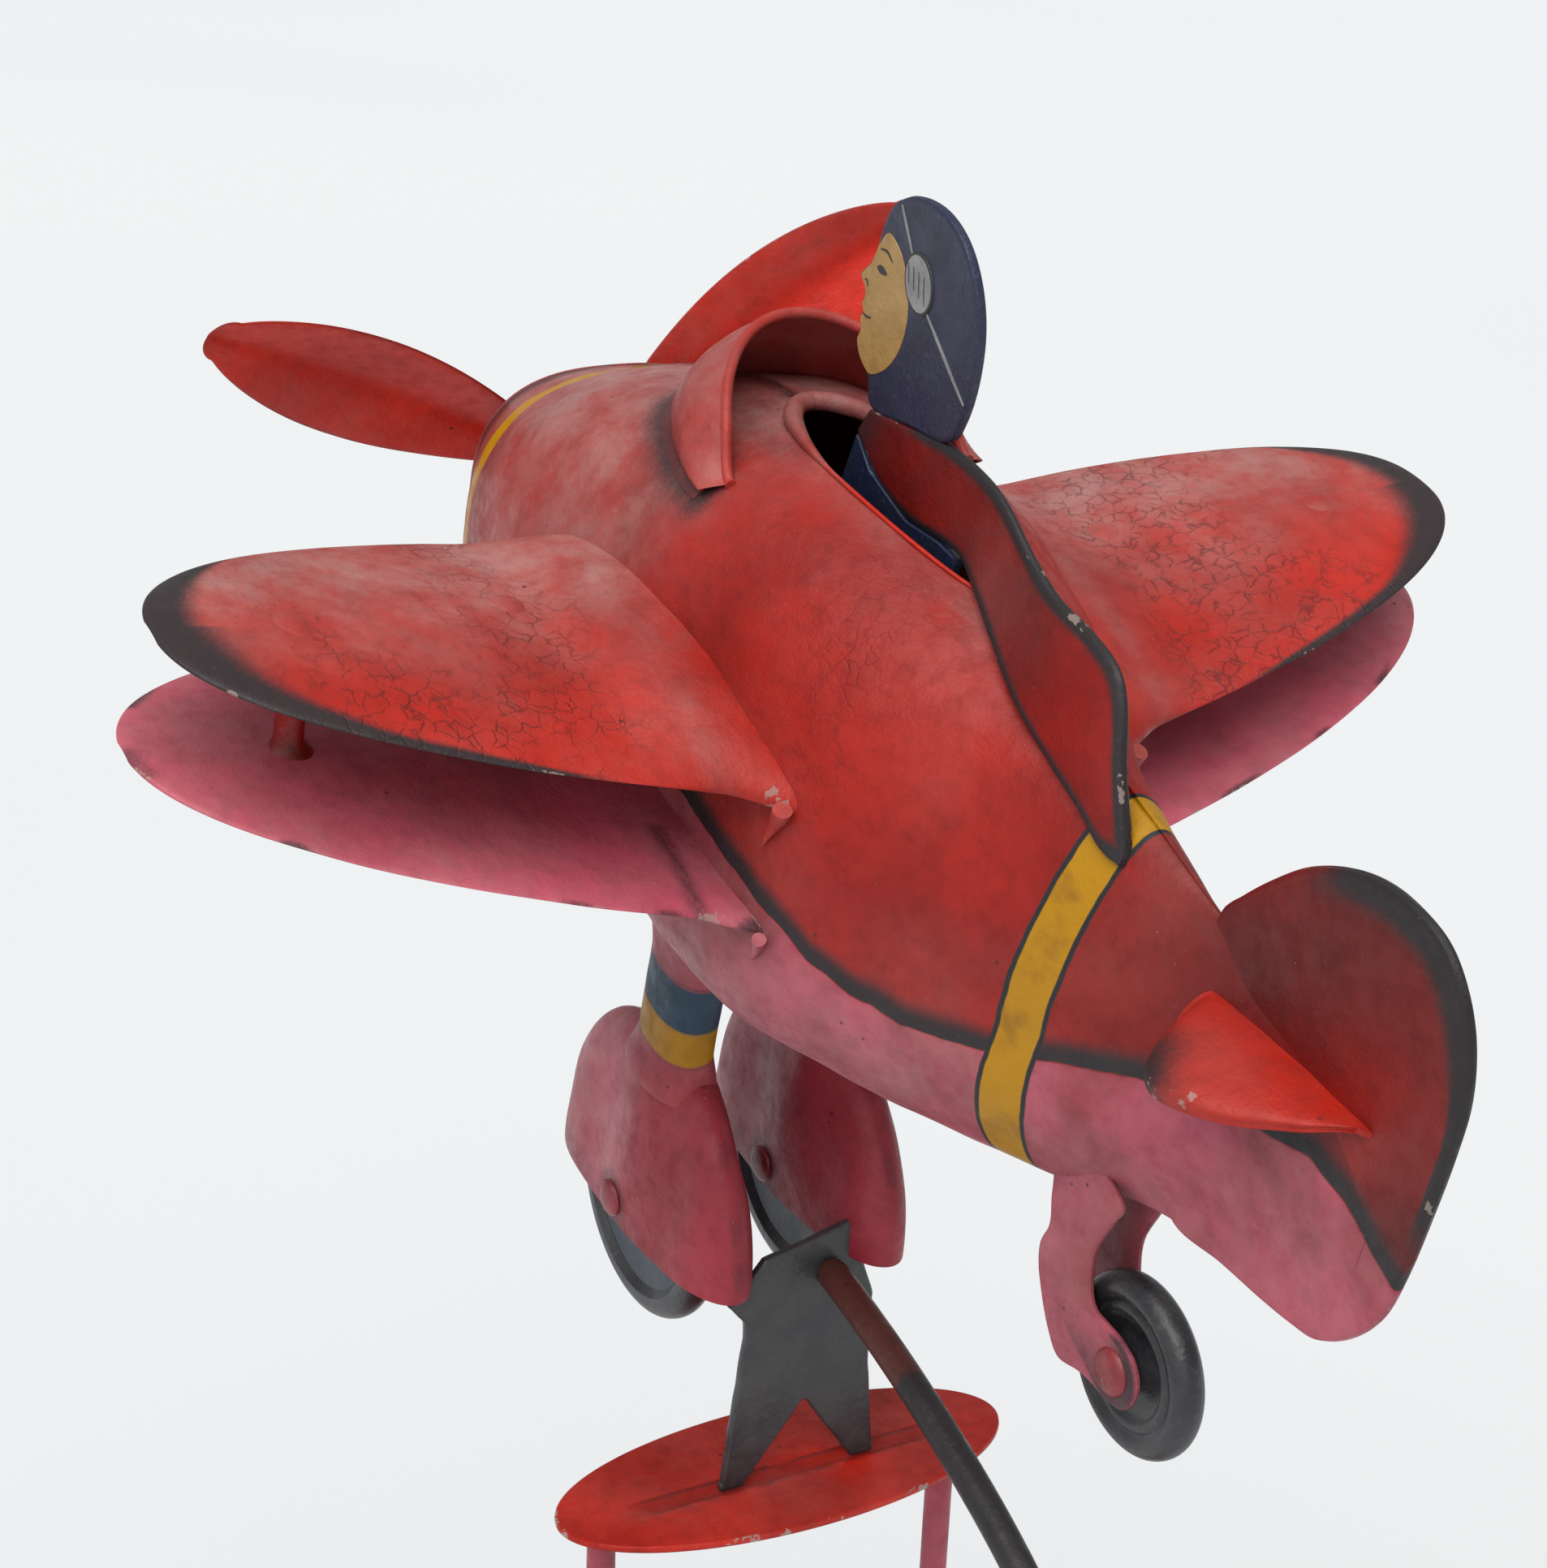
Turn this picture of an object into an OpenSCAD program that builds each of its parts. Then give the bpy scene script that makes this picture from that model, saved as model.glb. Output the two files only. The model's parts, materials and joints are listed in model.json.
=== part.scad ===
// Rocking biplane on a two-legged stand.
// A hollow sheet-metal biplane stands on the two pointed feet of a plate bracket.
// The feet sit in a groove in a small oval platform. A curved rod from the bracket
// carries a ball far below the feet, so the biplane rocks and always rights itself.
// X points to the nose at rest level, Y to port, Z up. Origin: centre of the base's underside.

/* [Stand] */
// Height of the rocking axis above the ground
pivot_h = 340; // [330:1:360]
// Half length of the oval base plate, fore and aft
base_rx = 80; // [70:1:110]
// Half width of the oval base plate
base_ry = 95; // [60:1:120]
// Thickness of the base plate
base_t = 3; // [2:0.5:6]
// Distance from the middle plane to each leg's centre
leg_y = 40; // [36:0.5:44]
// How far both legs stand over to port
leg_shift = 1.5; // [0:0.5:3]
// Diameter of the legs
leg_d = 5.8; // [5:0.1:8]
// Half length of the oval platform, fore and aft
platform_rx = 21; // [16:0.5:30]
// Half width of the oval platform
platform_ry = 51; // [45:0.5:60]
// How far the platform's middle lies ahead of the rocking axis
platform_x = 2; // [0:0.5:4]
// Thickness of the platform
platform_t = 1.6; // [1.2:0.1:3]

/* [Bracket and counterweight] */
// Thickness of the bracket plate
bracket_t = 2; // [1.5:0.1:2]
// Diameter of the curved rod
rod_d = 6.5; // [5:0.1:8]
// Heading of the rod where it leaves the bracket, 180 is straight back
rod_heading = 190; // [185:1:200]
// Length of the rod's last straight stretch
rod_tail = 63; // [20:1:110]
// Diameter of the counterweight ball
ball_d = 56; // [50:1:58]

/* [Attitude] */
// Nose-up angle of the biplane at rest
pitch = 14.4; // [10:0.1:18]

/* [Fuselage] */
// Thickness of the fuselage sheet
skin_t = 1; // [0.8:0.1:1.6]
// Half width of the cockpit opening
cockpit_w = 10; // [7:0.5:13]
// Thickness of the fin plate
fin_t = 2; // [1.6:0.1:3]

/* [Wings] */
// Half span of the upper wings
upper_span = 130; // [115:1:140]
// Middle chord of the upper wings
upper_chord = 86; // [70:1:95]
// Half span of the lower wings
lower_span = 133; // [115:1:140]
// Middle chord of the lower wings
lower_chord = 97; // [80:1:105]
// Angle at which the wings rise towards their tips
dihedral = 11.8; // [5:0.1:15]
// Thickness of the wing sheet
wing_t = 1.2; // [0.8:0.1:2]
// Rise of the wing's middle above its edges
camber = 6; // [2:0.5:9]

/* [Landing gear] */
// Radius of the main wheels
main_r = 27; // [22:0.5:30]
// Width of the main wheels
main_w = 8; // [6:0.5:9]
// Distance from the middle plane to each main wheel's centre
gear_y = 17.5; // [16:0.5:20]
// Half thickness of a wheel spat
spat_w = 9; // [8:0.5:10]
// Radius of the tail wheel
tail_r = 16; // [13:0.5:18]
// Width of the tail wheel
tail_w = 6.6; // [5:0.1:7]

/* [Propeller] */
// Length of a propeller blade from the shaft's axis
blade_r = 92; // [80:1:100]
// Greatest width of a blade
blade_w = 28; // [20:1:34]
// Angle of the first blade above the port side
blade_angle = 24; // [0:1:119]

/* [Hidden] */

$fn = 64;
red = "firebrick";
pink = "palevioletred";
dark = "dimgray";
gap = 0.05;

// Radius of the bracket's rounded feet, which turn on the rocking axis
foot_r = 1;
// Radius of the groove that holds the feet
groove_r = 2.2;
// How far the platform's top lies below the rocking axis
seat_drop = 0.2;
// Middle plane of the rod where it crosses the rocking axis, and its lean
rod_y = -6;
rod_lean = 1.1;
// Start of the rod beside the bracket, and its bends as [radius, angle turned]
rod_start = [-0.8, 45.6];
rod_bends = [[300, 12], [150, 110], [260, 24]];

// Fuselage stations, nose to tail: [x, top z, bottom z, half width, squareness, height of widest line]
stations = [
    [142, 181, 137, 29, 2.7, 0.42],
    [128, 188, 130, 36, 2.8, 0.38],
    [100, 202, 123, 43, 2.9, 0.34],
    [70, 211, 119.5, 43.5, 2.8, 0.3],
    [35, 214, 117, 42.5, 2.7, 0.3],
    [0, 210, 116, 39, 2.4, 0.3],
    [-30, 205, 120, 25, 2.1, 0.34],
    [-57, 201, 130, 14, 2.0, 0.30],
    [-76, 198, 140, 9, 2.0, 0.32],
    [-92, 199, 146, 5, 2.0, 0.40],
    [-108, 196, 149, 2.6, 2.0, 0.50]
];
nose_x = stations[0][0];
tail_x = stations[len(stations) - 1][0];
// The fin plate reaches forward between the fuselage halves to here
fin_front = -80;
// Cockpit opening, rear and front ends
cockpit_rear = 0;
cockpit_front = 64;

// Wing planes, in the biplane's own frame: [middle x, height at the middle plane]
upper_at = [40.3, 168.2];
lower_at = [42.7, 143.6];
// How squarely each wing's tip is rounded, 2 is an ellipse
upper_round = 2.26;
lower_round = 2.05;
// Strut positions as [x, y]
outer_strut = [41, 105];
inner_strut = [50, 62];
strut_d = 5;

// Main wheel axle [x, z] and tail wheel axle [x, z]
main_axle = [43.5, 44];
tail_axle_at = [-87, 113.7];
main_pin_r = 2;
tail_pin_r = 1.5;
running = 0.05;
// Outline of a spat as [angle, distance] about a point on its open lower edge
spat_pole = [43.5, 39];
spat_outline = [
    [-4, 33], [15, 34], [35, 39.5], [55, 44], [72, 45.5], [90, 45.5], [110, 44], [130, 41], [150, 39], [168, 38]
];
spat_first = spat_outline[0][0];
spat_last = spat_outline[len(spat_outline) - 1][0];

// Propeller shaft height and hub position
hub_x = 150;
hub_z = 153;
shaft_r = 2.5;
hub_r = 8;
hub_t = 8;

// ---- Curves ----
function slope(table, i, c) =
    let (n = len(table))
    i == 0 ? (table[1][c] - table[0][c]) / (table[1][0] - table[0][0]) :
    i == n - 1 ? (table[i][c] - table[i - 1][c]) / (table[i][0] - table[i - 1][0]) :
    (table[i + 1][c] - table[i - 1][c]) / (table[i + 1][0] - table[i - 1][0]);
function span_of(table, x, i = 0) =
    i >= len(table) - 2 ? i :
    (x - table[i][0]) * (x - table[i + 1][0]) <= 0 ? i : span_of(table, x, i + 1);
// Smooth curve through column c of a table whose first column runs one way
function curve(table, x, c) =
    let (i = span_of(table, x), a = table[i], b = table[i + 1], w = b[0] - a[0], t = (x - a[0]) / w)
    a[c] * (1 + 2 * t) * (1 - t) * (1 - t) + slope(table, i, c) * w * t * (1 - t) * (1 - t)
    + b[c] * t * t * (3 - 2 * t) + slope(table, i + 1, c) * w * t * t * (t - 1);
function signed_power(v, p) = sign(v) * pow(abs(v), p);

// Point of the fuselage's section at x, at angle a above the widest line on the port side,
// set in from the skin by inset
function section_point(x, a, inset = 0) =
    let (top = curve(stations, x, 1) - inset,
         bottom = curve(stations, x, 2) + inset,
         wide = max(curve(stations, x, 3) - inset, 0.4),
         square_n = curve(stations, x, 4),
         middle = bottom + (top - bottom) * curve(stations, x, 5),
         rise = a >= 0 ? top - middle : middle - bottom)
    [x, wide * signed_power(cos(a), 2 / square_n), middle + rise * signed_power(sin(a), 2 / square_n)];
// Half width of the fuselage at height z
function half_width(x, z) =
    let (top = curve(stations, x, 1),
         bottom = curve(stations, x, 2),
         middle = bottom + (top - bottom) * curve(stations, x, 5),
         square_n = curve(stations, x, 4),
         u = min(z >= middle ? (z - middle) / (top - middle) : (middle - z) / (middle - bottom), 1))
    curve(stations, x, 3) * pow(1 - pow(u, square_n), 1 / square_n);
function cockpit_half(x) =
    let (t = (x - cockpit_rear) / (cockpit_front - cockpit_rear))
    t <= 0 || t >= 1 ? 0 : cockpit_w * pow(sin(180 * pow(t, 1.5)), 0.45);
// Angle at which the section's skin starts, 90 unless the cockpit is open there
function start_angle(x) =
    let (half = cockpit_half(x), wide = curve(stations, x, 3), square_n = curve(stations, x, 4))
    half <= 0 ? 90 : acos(pow(half / wide, square_n / 2));

// ---- Closed sheets from two equal grids of points ----
module sheet(outer, inner) {
    rows = len(outer);
    columns = len(outer[0]);
    count = rows * columns;
    points = concat([for (r = outer) each r], [for (r = inner) each r]);
    function at(r, c) = r * columns + c;
    faces = concat(
        [for (r = [0 : rows - 2], c = [0 : columns - 2])
            each [[at(r, c), at(r, c + 1), at(r + 1, c + 1)], [at(r, c), at(r + 1, c + 1), at(r + 1, c)]]],
        [for (r = [0 : rows - 2], c = [0 : columns - 2])
            each [[count + at(r, c), count + at(r + 1, c + 1), count + at(r, c + 1)],
                  [count + at(r, c), count + at(r + 1, c), count + at(r + 1, c + 1)]]],
        [for (r = [0 : rows - 2]) each [
            [at(r, 0), at(r + 1, 0), count + at(r + 1, 0)],
            [at(r, 0), count + at(r + 1, 0), count + at(r, 0)],
            [at(r, columns - 1), count + at(r + 1, columns - 1), at(r + 1, columns - 1)],
            [at(r, columns - 1), count + at(r, columns - 1), count + at(r + 1, columns - 1)]]],
        [for (c = [0 : columns - 2]) each [
            [at(0, c), count + at(0, c + 1), at(0, c + 1)],
            [at(0, c), count + at(0, c), count + at(0, c + 1)],
            [at(rows - 1, c), at(rows - 1, c + 1), count + at(rows - 1, c + 1)],
            [at(rows - 1, c), count + at(rows - 1, c + 1), count + at(rows - 1, c)]]]);
    polyhedron(points = points, faces = faces, convexity = 8);
}

// Round bar of flat-sided section along a path; beside is never along the path
module tube(path, r, sides, beside) {
    last = len(path) - 1;
    function along(i) =
        let (d = path[min(i + 1, last)] - path[max(i - 1, 0)]) d / norm(d);
    function side_of(i) = let (c = cross(along(i), beside)) c / norm(c);
    points = [for (i = [0 : last])
        let (u = side_of(i), v = cross(along(i), u))
        for (k = [0 : sides - 1]) path[i] + r * (u * cos(360 * k / sides) + v * sin(360 * k / sides))];
    walls = [for (i = [0 : last - 1], k = [0 : sides - 1])
        let (n = (k + 1) % sides, a = i * sides, b = a + sides)
        each [[a + k, b + k, b + n], [a + k, b + n, a + n]]];
    polyhedron(points = points, convexity = 6, faces = concat(
        [[for (k = [0 : sides - 1]) k]], walls, [[for (k = [sides - 1 : -1 : 0]) last * sides + k]]));
}

// ---- Frames ----
module on_pivot() translate([0, 0, pivot_h]) children();
module on_biplane() translate([0, 0, pivot_h]) rotate([0, -pitch, 0]) children();
module starboard() mirror([0, 1, 0]) children();
// Flat outline in x and z, centred on the middle plane
module upright(thickness) rotate([90, 0, 0]) linear_extrude(thickness, center = true) children();
module along_y(r, length) rotate([90, 0, 0]) cylinder(r = r, h = length, center = true);

// ---- Stand ----
module oval(rx, ry) polygon([for (a = [0 : 5 : 355]) [rx * cos(a), ry * sin(a)]]);
module base_plate() color(red) linear_extrude(base_t) oval(base_rx, base_ry);
platform_top = pivot_h - seat_drop;
module leg(side) translate([platform_x, leg_shift + side * leg_y, base_t])
    cylinder(d = leg_d, h = platform_top - platform_t - base_t);
module leg_port() color(pink) leg(1);
module leg_starboard() color(pink) leg(-1);
module groove_bar(r) translate([0, 0, pivot_h + groove_r - foot_r - gap]) along_y(r, 68);
module platform() color(red) difference() {
    union() {
        translate([platform_x, 0, platform_top - platform_t])
            linear_extrude(platform_t) oval(platform_rx, platform_ry);
        intersection() {
            groove_bar(groove_r + 1.2);
            translate([-5, -40, platform_top - 3]) cube([10, 80, 3 - platform_t / 2]);
        }
    }
    groove_bar(groove_r);
}

// ---- Bracket, rod and ball ----
bracket_outline = [
    [16.3, 0], [12, 33.5], [12, 37.5], [16, 42], [8, 51], [-13, 56], [-15.5, 44.5],
    [-18, 37.5], [-17.5, 24], [-19.7, 0], [-14, 0], [-2.5, 16], [10.7, 0]
];
module foot(y0, y1) translate([0, (y0 + y1) / 2, 0]) along_y(foot_r, y1 - y0);
module pivot_bracket() color(dark) on_pivot() {
    translate([bracket_t / 2, 0, 0]) rotate([90, 0, -90]) mirror([1, 0, 0])
        linear_extrude(bracket_t) polygon(bracket_outline);
    foot(10.7, 16.3);
    foot(-19.7, -14);
}
// Where bend i of the rod starts: [x, z, heading]
function bend_start(i) =
    i == 0 ? [rod_start[0], rod_start[1], rod_heading] :
    let (s = bend_start(i - 1), r = rod_bends[i - 1][0], h = s[2] + rod_bends[i - 1][1])
    [s[0] + r * (sin(h) - sin(s[2])), s[1] - r * (cos(h) - cos(s[2])), h];
rod_end = bend_start(len(rod_bends));
ball_at = [rod_end[0] + rod_tail * cos(rod_end[2]), rod_end[1] + rod_tail * sin(rod_end[2])];
module in_rod_plane() on_pivot() rotate([rod_lean, 0, 0]) translate([0, rod_y, 0]) children();
function rod_point(i, t) =
    let (s = bend_start(i), r = rod_bends[i][0], h = s[2] + rod_bends[i][1] * t)
    [s[0] + r * (sin(h) - sin(s[2])), 0, s[1] - r * (cos(h) - cos(s[2]))];
rod_reach = rod_tail - ball_d / 2 + 3;
rod_path = concat(
    [for (i = [0 : len(rod_bends) - 1], k = [0 : 11]) rod_point(i, k / 12)],
    [[rod_end[0], 0, rod_end[1]],
     [rod_end[0] + rod_reach * cos(rod_end[2]), 0, rod_end[1] + rod_reach * sin(rod_end[2])]]);
module balance_rod() color(dark) in_rod_plane() tube(rod_path, rod_d / 2, 12, [0, 1, 0]);
module counterweight_ball() color(dark) in_rod_plane() difference() {
    translate([ball_at[0], 0, ball_at[1]]) sphere(d = ball_d);
    translate([rod_end[0], 0, rod_end[1]]) rotate([0, 90 - rod_end[2], 0])
        cylinder(d = rod_d, h = rod_reach);
}

// ---- Fuselage ----
shell_x = [for (i = [0 : 36]) nose_x + (tail_x - nose_x) * i / 36];
shell_steps = 18;
// Behind fin_front the skin lies against the fin plate's sides
function skin_grid(inset, edge) = [for (x = shell_x)
    let (top = start_angle(x), least = x > fin_front + 0.5 ? 0 : fin_t / 2 + gap + edge)
    [for (i = [0 : shell_steps])
        let (p = section_point(x, top - (top + 90) * i / shell_steps, inset))
        [p[0], max(p[1], least), p[2]]]];
module fuselage_half() sheet(skin_grid(0, skin_t / 2), skin_grid(skin_t, 0));
module fuselage_port() color(red) on_biplane() fuselage_half();
module fuselage_starboard() color(red) on_biplane() starboard() fuselage_half();
// Dished plate that closes the nose
nose_depth = 4;
module nose_outline(size) polygon([for (a = [0 : 10 : 350])
    let (p = section_point(nose_x, a > 90 && a < 270 ? 180 - a : a > 180 ? a - 360 : a))
    [(hub_z - p[2]) * size, p[1] * size * (a > 90 && a < 270 ? -1 : 1)]]);
module nose_dish(drop, size) translate([nose_x + gap - drop, 0, hub_z]) rotate([0, 90, 0]) hull() {
    linear_extrude(0.4) nose_outline(size);
    linear_extrude(nose_depth / 2) nose_outline(0.9 * size);
    linear_extrude(nose_depth) nose_outline(0.55 * size);
}
module nose_cap() color(red) on_biplane() difference() {
    nose_dish(0, 1);
    nose_dish(skin_t, 0.97);
    translate([nose_x - 5, 0, hub_z]) rotate([0, 90, 0]) cylinder(r = shaft_r, h = 20);
}
fin_outline = [
    [-74, 198.5], [-79, 204], [-84, 210.5], [-90, 217], [-97, 222], [-104, 225], [-111, 226], [-119, 225],
    [-125, 221], [-129.5, 215], [-132.3, 207], [-133, 198], [-133, 188], [-132.5, 175], [-131, 165],
    [-127, 157.5], [-121.5, 152], [-116, 150], [-108, 148.2], [-98, 146.5]
];
module tail_fin() color(red) on_biplane() upright(fin_t)
    polygon(concat(fin_outline, [[fin_front, 143], [fin_front, 198.3]]));

// ---- Cockpit ----
// Windscreen sheet between its foot on the fuselage and its swept-back rim
function screen_rim(a) = [46 + 30 * pow(cos(a), 1.3), 25 * sin(a), 208 + 17 * pow(cos(a), 0.8)];
function screen_foot(a) =
    let (x = 47 + 43 * pow(cos(a), 0.8), y = 28 * sin(a))
    [x, y, surface_height(x, y) - 0.4];
// Height of the fuselage's upper skin at x and y
function surface_height(x, y) =
    let (top = curve(stations, x, 1),
         bottom = curve(stations, x, 2),
         middle = bottom + (top - bottom) * curve(stations, x, 5),
         square_n = curve(stations, x, 4),
         u = min(abs(y) / curve(stations, x, 3), 1))
    middle + (top - middle) * pow(1 - pow(u, square_n), 1 / square_n);
screen_bulge = 2.5;
function screen_grid(inset) = [for (i = [0 : 24])
    let (a = -88 + 176 * i / 24, rim = screen_rim(a), foot_at = screen_foot(a))
    [for (k = [0 : 5])
        let (t = k / 5, p = foot_at * (1 - t) + rim * t, swell = screen_bulge * sin(180 * t) - inset)
        [p[0] + swell * 0.7 * cos(a), p[1] + swell * sin(a), p[2] + swell * 0.7 * cos(a)]]];
module windscreen() color(red) on_biplane() sheet(screen_grid(0), screen_grid(1));
// Rolled front rim of the cockpit opening
rim_r = 1.4;
rim_path = [for (a = [-80 : 16 : 80])
    let (x = 50 + 13.5 * cos(a), y = 10.5 * sin(a))
    [x, y, surface_height(x, y) + rim_r - 0.4]];
module cockpit_rim() color(red) on_biplane() tube(rim_path, rim_r, 10, [0, 0, 1]);
// Flat figure on the middle plane: head, body and streaming scarf
plate_t = 2;
head_outline = [
    [19, 228], [16, 233], [15, 241], [16, 249.5], [19.5, 256.5], [25.5, 261.7], [33.5, 263.8], [42, 262.7],
    [48, 258.8], [50, 254], [50.5, 249], [54.5, 242.6], [51.8, 240.8], [52.2, 237.3], [51.2, 236],
    [51.6, 232.5], [50.2, 228.7], [46, 226.6], [43, 222.3]
];
module pilot_head() color("navy") on_biplane() upright(plate_t) polygon(head_outline);
// Upper and lower edges of the scarf from the neck to the tip, which lies on the fuselage
scarf_top = [
    [43, 0, 222.2], [31, 0, 225], [19, 0, 227.9], [8, 0, 228.5], [-1, 0.5, 227.6], [-12, 1.2, 224],
    [-22, 2, 222.2], [-32, 2.5, 222.5], [-41, 3, 221.6], [-46, 3.5, 217.7], [-51, 4.5, 208.4],
    [-56.7, 5, 199]
];
scarf_low = [
    [46, 0, 216], [37, 0, 211.4], [26, 0, 209.5], [15, 0, 211.3], [8, 0.5, 211.9], [1, 2, 210.9],
    [-11, 5.2, 208.7], [-25, 7.9, 205], [-37, 8, 201.6], [-46.5, 7.4, 198.7], [-53, 7.1, 196.1],
    [-58.2, 6.3, 195.6]
];
function scarf_grid(side) = [for (i = [0 : len(scarf_top) - 1])
    [for (k = [0 : 4])
        scarf_top[i] * (1 - k / 4) + scarf_low[i] * k / 4 + [0, side * plate_t / 2, 0]]];
module scarf() color(red) on_biplane() sheet(scarf_grid(1), scarf_grid(-1));
module pilot_body() color("navy") on_biplane() upright(plate_t)
    polygon([
        [40, 211.8], [26, 209.4], [15, 211.2], [9.5, 211.2], [8, 180], [46, 178], [52, 190], [46, 215.8]
    ]);

// ---- Wings and struts ----
// Half chord of a wing at y from the middle plane
function half_chord(span, chord, n, y) = chord / 2 * pow(1 - pow(min(y / span, 1), n), 1 / n);
// Height of a wing's middle surface at x and y
function wing_height(at, span, chord, n, x, y) =
    let (u = (x - at[0]) / half_chord(span, chord, n, y))
    at[1] + y * tan(dihedral) + camber * (1 - u * u) * sqrt(1 - y / span);
// Grid of one wing from its root on the fuselage to its tip, raised by lift
function wing_grid(at, span, chord, n, lift) = [for (i = [0 : 18])
    [for (j = [0 : 14])
        let (u = -cos(180 * j / 14),
             root = half_width(at[0] + u * chord / 2, at[1] + 12) - 0.6,
             out = 0.35 * (1 - cos(90 * i / 18)) + 0.65 * sin(90 * i / 18),
             y = root + (0.998 * span - root) * out,
             x = at[0] + u * half_chord(span, chord, n, y))
        [x, y, wing_height(at, span, chord, n, x, y) + lift]]];
module wing(at, span, chord, n) 
    sheet(wing_grid(at, span, chord, n, wing_t / 2), wing_grid(at, span, chord, n, -wing_t / 2));
module upper_wing() wing(upper_at, upper_span, upper_chord, upper_round);
module lower_wing() wing(lower_at, lower_span, lower_chord, lower_round);
module upper_wing_port() color(red) on_biplane() upper_wing();
module upper_wing_starboard() color(red) on_biplane() starboard() upper_wing();
module lower_wing_port() color(pink) on_biplane() lower_wing();
module lower_wing_starboard() color(pink) on_biplane() starboard() lower_wing();
module strut(at) {
    low = wing_height(lower_at, lower_span, lower_chord, lower_round, at[0], at[1]);
    high = wing_height(upper_at, upper_span, upper_chord, upper_round, at[0], at[1]);
    translate([at[0], at[1], low]) cylinder(d = strut_d, h = high - low);
}
module outer_strut_port() color(red) on_biplane() strut(outer_strut);
module outer_strut_starboard() color(red) on_biplane() starboard() strut(outer_strut);
module inner_strut_port() color(red) on_biplane() strut(inner_strut);
module inner_strut_starboard() color(red) on_biplane() starboard() strut(inner_strut);

// ---- Tailplane ----
// Root of the tailplane on the fuselage side, front and rear, and its arched sheet
stab_front = [-81, 188];
stab_rear = [-119, 190.5];
stab_span = 19;
stab_droop = 8;
function stab_point(i, j, inset) =
    let (t = i / 14, s = j / 8,
         x = stab_front[0] + (stab_rear[0] - stab_front[0]) * t,
         z = stab_front[1] + (stab_rear[1] - stab_front[1]) * t,
         reach = stab_span * pow(sin(180 * pow(min(max(t, 0.02), 0.98), 0.8)), 0.75),
         root = max(half_width(x, z), fin_t / 2) - 0.4)
    [x + 2 * s, root + reach * sin(90 * s), z - stab_droop * (1 - cos(90 * s)) * (1 - t * t) - inset];
module stab() sheet(
    [for (i = [0 : 14]) [for (j = [0 : 8]) stab_point(14 - i, j, 0)]],
    [for (i = [0 : 14]) [for (j = [0 : 8]) stab_point(14 - i, j, 1)]]);
module stabilizer_port() color(red) on_biplane() stab();
module stabilizer_starboard() color(red) on_biplane() starboard() stab();

// ---- Main gear ----
module gear_leg() translate([42, gear_y + 1, 82]) linear_extrude(38) difference() {
    leg_section(8.5, 4.5);
    leg_section(7.5, 3.5);
}
module leg_section(rx, ry) polygon([for (a = [0 : 10 : 350])
    [rx * signed_power(cos(a), 0.8), ry * signed_power(sin(a), 0.8)]]);
module gear_leg_port() color(pink) on_biplane() gear_leg();
module gear_leg_starboard() color(pink) on_biplane() starboard() gear_leg();
// Half of a spat: a dished sheet, open along its lower edge
function spat_grid(side, inset) = [for (i = [0 : 20])
    let (a = spat_first + (spat_last - spat_first) * i / 20, reach = curve(spat_outline, a, 1))
    [for (k = [0 : 10])
        let (t = 0.04 + 0.96 * sin(9 * k),
             depth = (spat_w - inset) * pow(1 - pow(t, 4), 0.5),
             r = (reach - inset) * t)
        [spat_pole[0] + r * cos(a), gear_y + side * (depth + 0.02), spat_pole[1] + r * sin(a)]]];
module spat_half(side) sheet(spat_grid(side, 0), spat_grid(side, 1));
module spat_outer_port() color(pink) on_biplane() spat_half(1);
module spat_inner_port() color(pink) on_biplane() mirror_about(gear_y) spat_half(1);
module spat_outer_starboard() color(pink) on_biplane() starboard() spat_half(1);
module spat_inner_starboard() color(pink) on_biplane() starboard() mirror_about(gear_y) spat_half(1);
module mirror_about(y) translate([0, y, 0]) mirror([0, 1, 0]) translate([0, -y, 0]) children();
// Axle pin with a formed head at each end
module pin(at, y, r, length, head_r, head_t) translate([at[0], y, at[1]]) {
    along_y(r, length);
    for (side = [-1, 1])
        translate([0, side * (length + head_t) / 2, 0]) along_y(head_r, head_t);
}
module wheel_axle() pin(main_axle, gear_y, main_pin_r, 2 * spat_w + 0.4, 4, 1.2);
module wheel_axle_port() color(pink) on_biplane() wheel_axle();
module wheel_axle_starboard() color(pink) on_biplane() starboard() wheel_axle();
// Turned wheel: hub, web and rounded tread
module wheel(at, y, r, w, bore) translate([at[0], y, at[1]]) rotate([90, 0, 0]) rotate_extrude()
    wheel_section(r, w, bore);
module wheel_section(r, w, bore) difference() {
    union() {
        translate([bore, -w * 0.42]) square([r * 0.26 - bore, w * 0.84]);
        translate([bore, -w * 0.25]) square([r * 0.8 - bore, w * 0.5]);
        translate([r - w / 2, 0]) circle(d = w);
        translate([r * 0.78 - 1, -w / 2]) square([r - w / 2 - r * 0.78 + 1, w]);
    }
    translate([-r, -w]) square([r + bore, 2 * w]);
}
module main_wheel() wheel(main_axle, gear_y, main_r, main_w, main_pin_r + running);
module main_wheel_port() color("black") on_biplane() main_wheel();
module main_wheel_starboard() color("black") on_biplane() starboard() main_wheel();

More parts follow.
